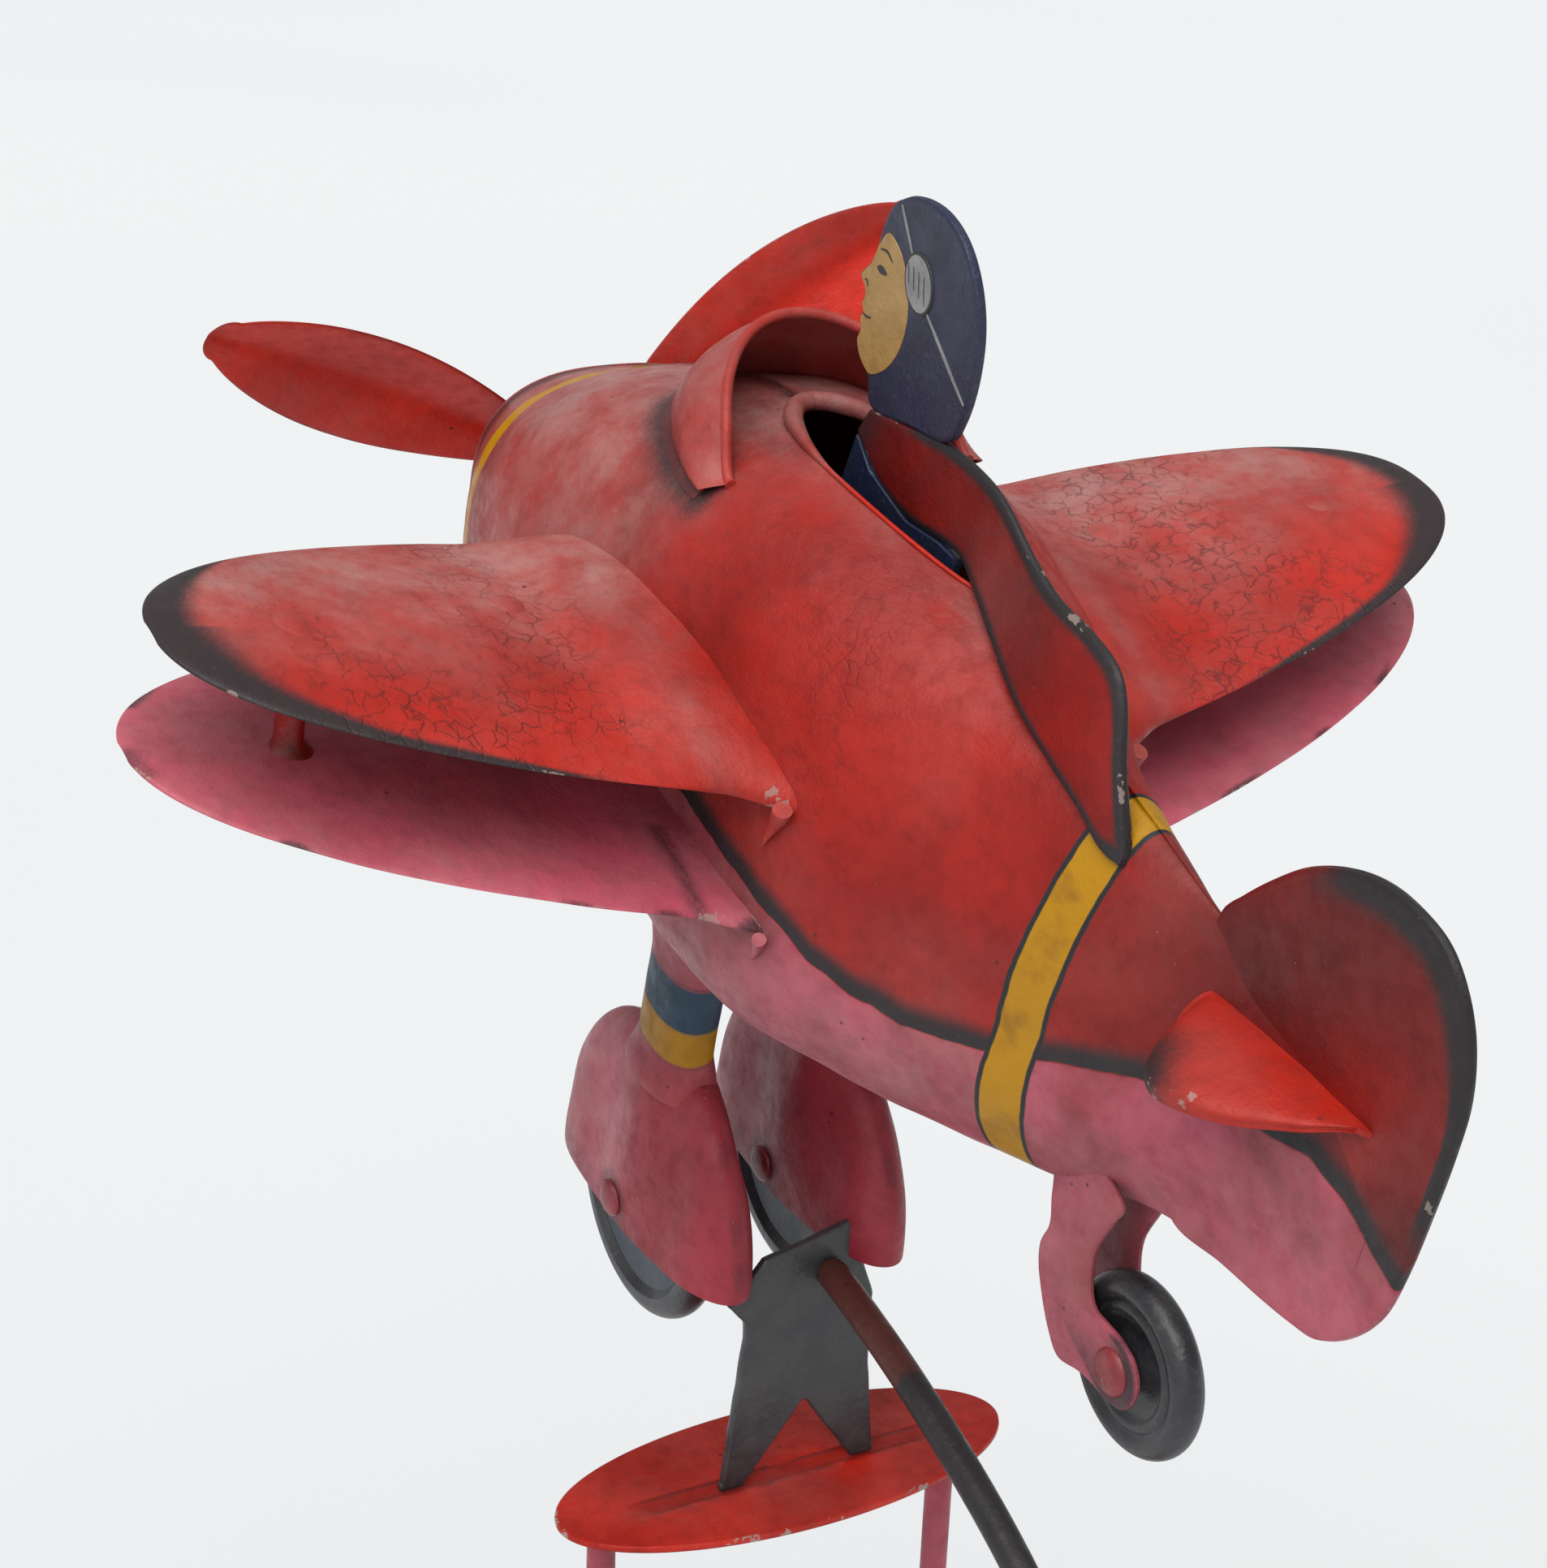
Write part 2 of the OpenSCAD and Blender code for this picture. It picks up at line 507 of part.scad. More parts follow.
// ---- Tail wheel ----
fork_t = 1.6;
fork_outline = [
    [-60, 138], [-61, 131], [-62.5, 125], [-61.5, 119.5], [-63.5, 114], [-69, 107], [-73.5, 104],
    [-79, 106], [-87, 107.4], [-87, 120], [-82, 120], [-78.5, 120], [-76.3, 123], [-75, 129],
    [-77, 137], [-77, 142]
];
fork_y = tail_w / 2 + 0.6 + fork_t / 2;
module fork_arm() translate([0, fork_y, 0]) difference() {
    union() {
        upright(fork_t) polygon(fork_outline);
        translate([tail_axle_at[0], 0, tail_axle_at[1]]) along_y(6.5, fork_t);
    }
    translate([tail_axle_at[0], 0, tail_axle_at[1]]) along_y(tail_pin_r, fork_t + 1);
}
module fork_arm_port() color(pink) on_biplane() fork_arm();
module fork_arm_starboard() color(pink) on_biplane() starboard() fork_arm();
module tail_axle() color(pink) on_biplane()
    pin(tail_axle_at, 0, tail_pin_r, 2 * fork_y + fork_t, 3.6, 1.2);
module tail_wheel() color("black") on_biplane()
    wheel(tail_axle_at, 0, tail_r, tail_w, tail_pin_r + running);

// ---- Propeller ----
module on_shaft() on_biplane() translate([hub_x, 0, hub_z]) rotate([0, 90, 0]) children();
module propeller_shaft() color("silver") on_shaft() {
    translate([0, 0, nose_x - hub_x - 3]) cylinder(r = shaft_r, h = hub_x - nose_x + 3 + hub_t / 2 + 0.6);
    translate([0, 0, hub_t / 2 + 0.6]) cylinder(r = 4.2, h = 2);
}
module propeller_hub() color(red) on_shaft() difference() {
    translate([0, 0, -hub_t / 2 + 0.4]) cylinder(r = hub_r, h = hub_t - 0.4);
    cylinder(r = shaft_r + running, h = 3 * hub_t, center = true);
}
// Leaf-shaped blade with a crease along its middle
function blade_half(t) = blade_w / 2 * pow(sin(180 * pow(t, 1.23)), 0.6) + (1 - t) + 0.4;
blade_twist = -28;
function blade_grid(inset) = [for (i = [0 : 20])
    let (t = i / 20,
         r = hub_r - 1 + (blade_r - hub_r + 1) * t,
         half = blade_half(min(max(t, 0.001), 0.985)),
         turn = blade_twist * (1 - 0.25 * t))
    [for (j = [-4 : 4])
        let (v = j / 4, across = v * half, fold = 0.3 * half * (1 - abs(v)) - inset)
        [r, across * cos(turn) - fold * sin(turn), across * sin(turn) + fold * cos(turn)]]];
module blade(k) color(red) on_shaft() rotate([0, 0, 90 + blade_angle + 120 * k])
    sheet(blade_grid(1), blade_grid(0));
module blade_one() blade(0);
module blade_two() blade(1);
module blade_three() blade(2);

base_plate();
leg_port();
leg_starboard();
platform();
pivot_bracket();
balance_rod();
counterweight_ball();
fuselage_port();
fuselage_starboard();
nose_cap();
tail_fin();
windscreen();
cockpit_rim();
pilot_head();
pilot_body();
scarf();
upper_wing_port();
upper_wing_starboard();
lower_wing_port();
lower_wing_starboard();
outer_strut_port();
outer_strut_starboard();
inner_strut_port();
inner_strut_starboard();
stabilizer_port();
stabilizer_starboard();
gear_leg_port();
gear_leg_starboard();
spat_outer_port();
spat_outer_starboard();
spat_inner_port();
spat_inner_starboard();
wheel_axle_port();
wheel_axle_starboard();
main_wheel_port();
main_wheel_starboard();
fork_arm_port();
fork_arm_starboard();
tail_axle();
tail_wheel();
propeller_shaft();
propeller_hub();
blade_one();
blade_two();
blade_three();
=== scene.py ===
"""Painted sheet-metal biplane that rocks on a two-legged stand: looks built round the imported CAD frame."""

import bmesh
import bpy
import json
import numpy as np
from math import acos, cos, pi, radians, sin, sqrt, tan
from mathutils import Matrix, Vector, noise


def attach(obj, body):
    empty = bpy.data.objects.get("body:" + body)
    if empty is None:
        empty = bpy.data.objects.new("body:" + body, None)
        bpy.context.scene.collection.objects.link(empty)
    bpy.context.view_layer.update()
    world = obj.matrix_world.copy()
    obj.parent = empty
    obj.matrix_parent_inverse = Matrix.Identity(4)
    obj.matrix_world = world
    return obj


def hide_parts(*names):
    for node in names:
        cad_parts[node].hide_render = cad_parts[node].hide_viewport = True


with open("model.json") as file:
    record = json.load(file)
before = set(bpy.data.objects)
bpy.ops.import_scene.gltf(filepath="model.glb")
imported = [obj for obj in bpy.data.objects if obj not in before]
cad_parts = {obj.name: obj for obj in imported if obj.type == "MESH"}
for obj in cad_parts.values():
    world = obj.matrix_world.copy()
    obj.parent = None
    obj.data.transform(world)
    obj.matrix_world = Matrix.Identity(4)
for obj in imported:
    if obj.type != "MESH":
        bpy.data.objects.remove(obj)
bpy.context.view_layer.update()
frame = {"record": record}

JOINTS = {j["name"]: j for j in frame["record"]["behaviour"]["joints"]}
PIVOT = JOINTS["rock"]["pos_m"][2]
PITCH = radians(14.4)
MM = 0.001
SIDES = (("port", 1), ("starboard", -1))


def xyz(x, y, z):
    """Points from three coordinates, each of them an array or one number."""
    return np.stack(np.broadcast_arrays(x, y, z), -1)


def to_row(points):
    """Points in the biplane's own frame, in mm from the rocking axis, to the row frame in metres."""
    x, y, z = np.moveaxis(np.asarray(points, float), -1, 0)
    return level(xyz(x * cos(PITCH) - z * sin(PITCH), y, x * sin(PITCH) + z * cos(PITCH)))


def level(points):
    """Points in mm from the rocking axis, level with the ground, to the row frame in metres."""
    return np.asarray(points, float) * MM + [0, 0, PIVOT]


def ground(points):
    """Points in mm from the floor to the row frame in metres."""
    return np.asarray(points, float) * MM


# ---------------------------------------------------------------- small maths
def smooth(v, a, b):
    t = np.clip((np.asarray(v, float) - a) / (b - a), 0, 1)
    return t * t * (3 - 2 * t)


def bump_at(v, centre, width):
    return np.exp(-((np.asarray(v, float) - centre) / width) ** 2)


def around(count):
    """Angles, evenly spaced round a full turn."""
    return np.linspace(0, 2 * pi, count, endpoint=False)


def unit(vectors):
    return vectors / np.linalg.norm(vectors, axis=1)[:, None]


def hermite(table, x, c):
    """Smooth curve through column c of a table whose first column runs one way, as in part.scad."""
    t = np.array(table, float)
    xs, ys = t[:, 0], t[:, c]
    if xs[0] > xs[-1]:
        xs, ys = xs[::-1], ys[::-1]
    m = np.empty(len(xs))
    m[1:-1] = (ys[2:] - ys[:-2]) / (xs[2:] - xs[:-2])
    m[0] = (ys[1] - ys[0]) / (xs[1] - xs[0])
    m[-1] = (ys[-1] - ys[-2]) / (xs[-1] - xs[-2])
    x = np.clip(x, xs[0], xs[-1])
    i = np.clip(np.searchsorted(xs, x) - 1, 0, len(xs) - 2)
    w = xs[i + 1] - xs[i]
    u = (x - xs[i]) / w
    return (ys[i] * (1 + 2 * u) * (1 - u) ** 2 + m[i] * w * u * (1 - u) ** 2
            + ys[i + 1] * u * u * (3 - 2 * u) + m[i + 1] * w * u * u * (u - 1))


def dense(points, count, closed=True):
    """Points evenly spaced along the straight stretches between the given ones."""
    p = np.vstack([points, points[:1]]) if closed else np.array(points, float)
    run = np.concatenate([[0], np.cumsum(np.linalg.norm(np.diff(p, axis=0), axis=1))])
    at = np.linspace(0, run[-1], count, endpoint=not closed)
    return np.stack([np.interp(at, run, p[:, k]) for k in range(p.shape[1])], -1)


def spline(points, count, closed=False):
    """Points evenly spaced on a smooth curve through the given ones."""
    p = np.array(points, float)
    ends = (p[-1], [p[0], p[1]]) if closed else (2 * p[0] - p[1], 2 * p[-1] - p[-2])
    ext = np.vstack([ends[0], p, ends[1]])
    fine = []
    for i in range(len(ext) - 3):
        a, b, c, d = ext[i:i + 4]
        for u in np.linspace(0, 1, 24, endpoint=False):
            fine.append(0.5 * (2 * b + (c - a) * u + (2 * a - 5 * b + 4 * c - d) * u * u
                               + (3 * b - a - 3 * c + d) * u ** 3))
    return dense(fine, count) if closed else dense(fine + [p[-1]], count, False)


def wobble(p, scale, seed=0.0):
    """Smooth noise from -1 to 1 for each point, with features about scale mm across."""
    flat = np.asarray(p, float).reshape(-1, 3) / scale
    out = [noise.noise(Vector((v[0] + seed, v[1] - seed, v[2] + 2 * seed))) for v in flat]
    return np.array(out).reshape(np.asarray(p).shape[:-1])


def blotch(p, scale, seed, a, b):
    """Patches of noise: 0 where it is below a, 1 where it is above b."""
    return smooth(wobble(p, scale, seed), a, b)


# ---------------------------------------------------------------- materials
class Tree:
    """Short names for the shader nodes that the paints share."""

    def __init__(self, name):
        self.mat = bpy.data.materials.new(name)
        self.mat.use_nodes = True
        self.nodes = self.mat.node_tree.nodes
        self.links = self.mat.node_tree.links
        self.shader = self.nodes["Principled BSDF"]
        self.where = self.nodes.new("ShaderNodeTexCoord").outputs["Object"]

    def put(self, socket, value):
        if isinstance(value, bpy.types.NodeSocket):
            self.links.new(value, socket)
        elif isinstance(value, tuple) and socket.type == "RGBA":
            socket.default_value = (*value, 1)
        else:
            socket.default_value = value

    def add(self, kind, inputs, out=0, **settings):
        """Output of a new node; its inputs are given by name or number."""
        node = self.nodes.new("ShaderNode" + kind)
        for key, value in settings.items():
            setattr(node, key, value)
        for key, value in inputs.items():
            self.put(node.inputs[key], value)
        return node.outputs[out]

    def attribute(self, name, out="Fac"):
        return self.add("Attribute", {}, out, attribute_name=name)

    def noise(self, scale, detail=4, rough=0.55):
        inputs = {"Vector": self.where, "Scale": scale, "Detail": detail, "Roughness": rough}
        return self.add("TexNoise", inputs, "Fac")

    def cells(self, scale, kind="DISTANCE_TO_EDGE", warp=0.0):
        where = self.where
        if warp:
            wave = self.add("TexNoise", {"Vector": where, "Scale": scale * 0.8, "Detail": 5}, "Color")
            shift = {0: wave, 1: (warp, warp, warp), 2: where}
            where = self.add("VectorMath", shift, operation="MULTIPLY_ADD")
        return self.add("TexVoronoi", {"Vector": where, "Scale": scale}, "Distance", feature=kind)

    def band(self, value, a, b, low=0.0, high=1.0):
        inputs = {"Value": value, "From Min": a, "From Max": b, "To Min": low, "To Max": high}
        return self.add("MapRange", inputs, interpolation_type="SMOOTHSTEP")

    def calc(self, operation, a, b):
        return self.add("Math", {0: a, 1: b}, operation=operation)

    def times(self, a, b):
        return self.calc("MULTIPLY", a, b)

    def mix(self, fac, a, b, kind="MIX"):
        return self.add("Mix", {"Factor": fac, "A": a, "B": b}, "Result", data_type="RGBA", blend_type=kind)

    def bump(self, height, distance, strength, *before):
        names = ("Strength", "Distance", "Height", "Normal")
        inputs = dict(zip(names, (strength, distance, height, *before)))
        return self.add("Bump", inputs)

    def finish(self, colour, rough, normal, metal=0.0, coat=0.0, specular=0.5):
        values = {"Base Color": colour, "Roughness": rough, "Normal": normal, "Metallic": metal,
                  "Specular IOR Level": specular, "Coat Weight": coat, "Coat Roughness": 0.35}
        for key, value in values.items():
            self.put(self.shader.inputs[key], value)
        return self.mat


ORANGE = (0.42, 0.013, 0.004)
RED = (0.31, 0.009, 0.005)
DEEP = (0.12, 0.007, 0.006)
PINK = (0.40, 0.060, 0.100)
CRIMSON = (0.26, 0.024, 0.036)
SCARLET = (0.62, 0.022, 0.008)
BLUSH = (0.60, 0.09, 0.15)
CHARCOAL = (0.017, 0.017, 0.019)
BLACK = (0.018, 0.018, 0.020)
BROWN = (0.10, 0.022, 0.014)
# Colour of the pale film, which is partly dust and partly painted highlight
PALE_DUST_AND_SHEEN = (0.38, 0.25, 0.23)
YELLOW = (0.38, 0.18, 0.001)
NAVY = (0.012, 0.018, 0.050)
BLUE = (0.022, 0.050, 0.085)
BAND_AT = -53.4
RING_AT = 126


def paint(name, dust, crackle=0.0, wear=0.6, rough=0.42, fuselage=False, specks=0.5):
    """Old sprayed paint that reads the tone, char, pale film, edge and craze painted on the mesh; the pale film is
    partly dust and partly painted highlight.
    """
    t = Tree(name)
    broad = t.noise(34, 4, 0.6)
    fine = t.noise(260, 5, 0.65)
    grit = t.noise(1500, 3, 0.7)
    base = t.attribute("tone", "Color")
    if fuselage:
        over = t.calc("ADD", t.attribute("over"), t.band(t.noise(60, 3), 0.25, 0.75, -0.5, 0.5))
        under = t.mix(t.band(broad, 0.35, 0.75), PINK, CRIMSON)
        base = t.mix(t.band(over, -0.25, 0.05), under, base)
    # Broad and fine patches of darker paint, then a pale film that is partly dust and partly painted highlight
    shade = t.mix(t.band(broad, 0.35, 0.70), base, (0.55, 0.50, 0.50), "MULTIPLY")
    base = t.mix(0.6, base, shade)
    base = t.mix(t.times(t.band(fine, 0.42, 0.72), 0.35), base, (0.45, 0.38, 0.38), "MULTIPLY")
    film = t.times(t.band(t.noise(75, 6, 0.7), 0.30, 0.72, 0.25, 1.0), t.attribute("haze"))
    base = t.mix(t.times(film, dust), base, PALE_DUST_AND_SHEEN)
    # Crackle in patches
    patch = t.times(t.band(t.noise(19, 3), 0.40, 0.58), t.attribute("craze"))
    cracks = t.times(t.band(t.cells(300, warp=0.0045), 0.0, 0.10, 1.0, 0.0), patch)
    cracks = t.times(cracks, t.band(fine, 0.35, 0.6))
    base = t.mix(t.times(cracks, crackle), base, (0.07, 0.008, 0.008))
    # Charcoal borders, and on the fuselage the line under the red coat
    ragged = t.calc("ADD", t.attribute("char"), t.band(grit, 0.3, 0.7, -0.07, 0.07))
    if fuselage:
        airbrush = t.times(t.band(over, 0.0, 0.3), t.band(over, 0.7, 7.5, 1.0, 0.0))
        ragged = t.calc("MAXIMUM", ragged, t.times(airbrush, t.attribute("lane")))
    base = t.mix(t.band(ragged, 0.06, 0.92, 0.0, 0.97), base, CHARCOAL)
    if fuselage:
        band = t.calc("ADD", t.attribute("band"), t.band(t.noise(70, 3), 0.25, 0.75, -0.3, 0.3))
        yellow = t.mix(t.band(t.noise(85, 4), 0.50, 0.72, 0.0, 0.75), YELLOW, (0.20, 0.085, 0.006))
        base = t.mix(t.band(band, 4.5, 4.8, 1.0, 0.0), base, CHARCOAL)
        base = t.mix(t.band(band, 3.6, 3.9, 1.0, 0.0), base, yellow)
        base = t.mix(t.band(t.attribute("ring"), 2.0, 2.5, 1.0, 0.0), base, yellow)
    # Pale specks, dark pocks and chipped edges
    spot = t.times(t.band(grit, 0.70, 0.76), t.band(broad, 0.4, 0.6, 0.2, 1.0))
    base = t.mix(t.times(spot, specks), base, (0.42, 0.30, 0.27))
    pock = t.times(t.band(t.cells(230, "F1"), 0.05, 0.13, 1.0, 0.0), t.band(t.noise(60, 3), 0.58, 0.64))
    base = t.mix(t.times(pock, 0.85), base, (0.03, 0.010, 0.010))
    chip = t.calc("ADD", t.attribute("edge"), t.band(t.noise(420, 4, 0.6), 0.3, 0.7, -0.5, 0.5))
    base = t.mix(t.band(chip, 0.98, 1.06, 0.0, wear), base, (0.30, 0.23, 0.20))
    dull = t.band(fine, 0.3, 0.7, rough - 0.08, rough + 0.14)
    normal = t.bump(broad, 0.0022, 0.55)
    normal = t.bump(fine, 0.0005, 0.5, normal)
    normal = t.bump(t.calc("SUBTRACT", grit, t.times(cracks, 1.5)), 0.00018, 0.6, normal)
    return t.finish(base, dull, normal, coat=0.03, specular=0.24)


def plain(name, low, high, rough=0.4, metal=0.0, scale=90, dusty=0.2):
    """Two-tone worn coat with grime in the hollows and a little dust, for small parts."""
    t = Tree(name)
    patch = t.noise(scale, 5, 0.6)
    fine = t.noise(scale * 7, 4, 0.65)
    base = t.mix(t.band(patch, 0.3, 0.7), low, high)
    base = t.mix(t.times(t.band(fine, 0.55, 0.8), dusty), base, PALE_DUST_AND_SHEEN)
    base = t.mix(t.band(t.cells(scale * 2.2, "F1"), 0.03, 0.08, 0.5, 0.0), base, CHARCOAL)
    normal = t.bump(fine, 0.0003, 0.5, t.bump(patch, 0.0009, 0.5))
    return t.finish(base, t.band(patch, 0.3, 0.7, rough - 0.07, rough + 0.12), normal, metal=metal)


skin_paint = paint("fuselage_paint", 0.55, 0.5, fuselage=True)
toned_paint = paint("toned_paint", 0.6, 0.6)
gear_paint = paint("gear_paint", 0.5, specks=0.6)
blade_paint = paint("blade_paint", 0.35, specks=0.7, rough=0.36)
rod_paint = paint("rod_paint", 0.12, specks=0.6, rough=0.38)
platform_paint = paint("platform_paint", 0.35, wear=0.9, specks=0.7)
leg_paint = paint("leg_paint", 0.3, wear=0.7, specks=0.6)
strut_paint = plain("strut_paint", RED, DEEP)
pin_paint = plain("rivet_paint", CRIMSON, DEEP, dusty=0.35)
dark_paint = plain("bracket_paint", (0.024, 0.025, 0.028), (0.048, 0.049, 0.052), 0.36, dusty=0.06)
iron_paint = plain("ball_paint", (0.022, 0.022, 0.025), (0.045, 0.043, 0.046), 0.5, scale=60, dusty=0.12)
tyre_paint = plain("wheel_rim_paint", (0.012, 0.012, 0.014), (0.03, 0.03, 0.034), 0.33, dusty=0.14)
dish_paint = plain("wheel_dish_paint", (0.035, 0.045, 0.06), (0.05, 0.06, 0.075), 0.45, dusty=0.25)
steel = plain("shaft_steel", (0.30, 0.29, 0.28), (0.18, 0.15, 0.13), 0.38, 0.9, 160)
navy_paint = plain("navy_paint", NAVY, (0.012, 0.016, 0.034), 0.42, scale=120, dusty=0.12)
face_paint = plain("face_paint", (0.36, 0.22, 0.065), (0.27, 0.15, 0.04), 0.42, scale=130, dusty=0.1)
goggle_paint = plain("goggle_paint", (0.24, 0.245, 0.25), (0.17, 0.175, 0.18), scale=200, dusty=0.1)
ink_paint = plain("ink_paint", (0.02, 0.018, 0.018), (0.03, 0.024, 0.022), 0.5, scale=200, dusty=0.03)


# ---------------------------------------------------------------- meshes
def marks_of(count, tone, char=0.0, haze=0.0, edge=0.0, craze=0.0, **more):
    """Values on each point for paint(); in tone, later (colour, weight) pairs are laid over earlier ones."""
    blend = np.zeros((count, 3))
    for colour, weight in tone:
        w = np.broadcast_to(weight, count)[:, None]
        blend = blend * (1 - w) + np.array(colour) * w
    limited = {"craze": (craze, 1), "char": (char, 1.2), "haze": (haze, 1), "edge": (edge, 1)}
    out = {"tone": np.hstack([blend, np.ones((count, 1))])}
    out.update({key: np.clip(value, 0, top) for key, (value, top) in limited.items()})
    out.update(more)
    return out


def tidy(mesh):
    """Merges doubled points and turns every face outwards."""
    bm = bmesh.new()
    bm.from_mesh(mesh)
    bmesh.ops.remove_doubles(bm, verts=bm.verts, dist=0.00001)
    bmesh.ops.dissolve_degenerate(bm, edges=bm.edges, dist=0.00001)
    bmesh.ops.recalc_face_normals(bm, faces=bm.faces)
    bm.to_mesh(mesh)
    bm.free()


def make(name, points, faces, material, nodes="", slot="red_paint", body="biplane", place=to_row, bevel=0.0,
         angle=35, **marks):
    """A mesh piece from points in mm. nodes names the CAD nodes it replaces; marks are for marks_of()."""
    mesh = bpy.data.meshes.new(name)
    mesh.from_pydata(place(points).tolist(), [], faces)
    mesh.validate()
    count = len(points)
    for key, value in (marks_of(count, **marks) if marks else {}).items():
        colour = key == "tone"
        layer = mesh.attributes.new(key, "FLOAT_COLOR" if colour else "FLOAT", "POINT")
        value = np.array(np.broadcast_to(value, (count, 4) if colour else count), float)
        layer.data.foreach_set("color" if colour else "value", value.ravel())
    obj = bpy.data.objects.new(name, mesh)
    bpy.context.scene.collection.objects.link(obj)
    tidy(mesh)
    mesh.polygons.foreach_set("use_smooth", [True] * len(mesh.polygons))
    mesh.set_sharp_from_angle(angle=radians(angle))
    mesh.materials.append(material)
    if bevel:
        edge = obj.modifiers.new("rounded_edges", "BEVEL")
        edge.width = bevel * MM
        edge.segments = 2
        edge.limit_method = "ANGLE"
        edge.angle_limit = radians(angle)
        edge.use_clamp_overlap = True
        edge.harden_normals = True
    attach(obj, body)
    if nodes:
        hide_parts(*nodes.split())
    return obj


def grid_faces(rows, columns, wrap_rows=False, wrap_columns=False, start=0):
    faces = []
    for r in range(rows if wrap_rows else rows - 1):
        for c in range(columns if wrap_columns else columns - 1):
            r2, c2 = (r + 1) % rows, (c + 1) % columns
            faces.append((start + r * columns + c, start + r * columns + c2,
                          start + r2 * columns + c2, start + r2 * columns + c))
    return faces


def tube(loops):
    """Points and faces of a closed solid through loops of points, with flat ends."""
    points = np.array(loops).reshape(-1, 3)
    count = len(points) // len(loops)
    ends = [tuple(range(count)), tuple(range(len(points) - count, len(points)))]
    return points, grid_faces(len(loops), count, False, True) + ends


def sheet(outer, inner):
    """Points and faces of a closed sheet between two equal grids."""
    outer, inner = np.asarray(outer, float), np.asarray(inner, float)
    rows, columns = outer.shape[:2]
    points = np.vstack([outer.reshape(-1, 3), inner.reshape(-1, 3)])
    n = rows * columns
    faces = grid_faces(rows, columns) + [tuple(reversed(f)) for f in grid_faces(rows, columns, start=n)]
    ring = ([(0, c) for c in range(columns - 1)] + [(r, columns - 1) for r in range(rows - 1)]
            + [(rows - 1, c) for c in range(columns - 1, 0, -1)] + [(r, 0) for r in range(rows - 1, 0, -1)])
    ids = [r * columns + c for r, c in ring]
    faces += [(b, a, a + n, b + n) for a, b in zip(ids, ids[1:] + ids[:1])]
    return points, faces


def lathe(profile, steps, closed=True):
    """Points and faces of a ring-shaped section [(radius, height)] turned about Z."""
    r, h = np.array(profile, float).T
    turn = around(steps)
    points = xyz(np.outer(np.cos(turn), r), np.outer(np.sin(turn), r), h)
    return points.reshape(-1, 3), grid_faces(steps, len(r), True, closed)


def upright(a, b, h):
    return a, h, b


RINGS = (1, 0.985, 0.96, 0.92, 0.86, 0.78, 0.66, 0.5, 0.3, 0.12)


def disc(outline, centre, thickness, rim=0.6, rings=RINGS, across=upright):
    """A plate whose outline is star-shaped about centre; across turns (a, b, height) into a point.
    Returns points, faces and each point's share of the way from the middle to the edge."""
    outline, centre = np.asarray(outline, float), np.array(centre, float)
    count = len(outline)
    reach = np.linalg.norm(outline - centre, axis=1)
    half = thickness / 2
    loops = [(s * (1 - rim / reach), half, s) for s in reversed(rings)]
    corner = 1 - (1 - sqrt(0.5)) * rim / reach
    loops += [(corner, 0.8 * half, 1), (np.ones(count), 0, 1), (corner, -0.8 * half, 1)]
    loops += [(s * (1 - rim / reach), -half, s) for s in rings]
    points = [xyz(*across(*(centre + (outline - centre) * k[:, None]).T, h)) for k, h, _share in loops]
    points += [np.array([across(*centre, h)]) for h in (half, -half)]
    share = np.append(np.repeat([s for _k, _h, s in loops], count), [0, 0])
    faces = grid_faces(len(loops), count, False, True)
    for first, hub in ((0, len(share) - 2), (len(share) - 2 - count, len(share) - 1)):
        faces += [(first + i, first + (i + 1) % count, hub) for i in range(count)]
    return np.vstack(points), faces, share


def sweep(path, radius, sides=20, beside=(0, 1, 0)):
    """Points and faces of a round bar along a path, with closed ends. radius may vary along it."""
    path = np.asarray(path, float)
    radius = np.broadcast_to(radius, len(path))
    along = unit(np.gradient(path, axis=0))
    u = unit(np.cross(along, np.asarray(beside, float)))
    v = np.cross(along, u)
    turn = around(sides)[None, :, None]
    circles = u[:, None] * np.cos(turn) + v[:, None] * np.sin(turn)
    return tube(path[:, None] + radius[:, None, None] * circles)


def edge_loops(outline, along, profile, trim=0.0):
    """Loops of a plate with rounded edges; profile lists how far in and how high each loop is."""
    inward = unit(along)[:, ::-1] * [-1, 1]
    a, b = outline.T
    if np.sum(a * np.roll(b, -1) - np.roll(a, -1) * b) < 0:
        inward = -inward
    trim = np.broadcast_to(trim, len(outline))[:, None]
    return [(outline + inward * (pull + trim), h) for pull, h in profile]


# ---------------------------------------------------------------- fuselage
STATIONS = [
    (142, 181, 137, 29, 2.7, 0.42), (128, 188, 130, 36, 2.8, 0.38), (100, 202, 123, 43, 2.9, 0.34),
    (70, 211, 119.5, 43.5, 2.8, 0.3), (35, 214, 117, 42.5, 2.7, 0.3), (0, 210, 116, 39, 2.4, 0.3),
    (-30, 205, 120, 25, 2.1, 0.34), (-57, 201, 130, 14, 2.0, 0.30), (-76, 198, 140, 9, 2.0, 0.32),
    (-92, 199, 146, 5, 2.0, 0.40), (-108, 196, 149, 2.6, 2.0, 0.50), (-124, 190, 154, 1.1, 2.0, 0.50)]
OVER_LINE = [
    (-134, 171), (-126, 174), (-118, 177), (-110, 178.5), (-92, 174.5), (-76, 168), (-60, 159), (-48, 153),
    (-34, 149), (-24, 149), (-16, 151), (-10, 154), (-2, 157.5), (8, 161), (18, 163.5), (40, 163), (60, 140),
    (142, 112)]


def widest(x):
    return hermite(STATIONS, x, 3)


def pinch(x, u, n):
    """Width share at u of the way from the widest line to an edge: the tail's edges thin out like a bell."""
    u = np.clip(u, 0, 1)
    k = smooth(-np.asarray(x, float), 58, 92)
    return (1 - u ** n) ** (1 / n) * (1 - k) + (1 - u * u) ** 2 * k


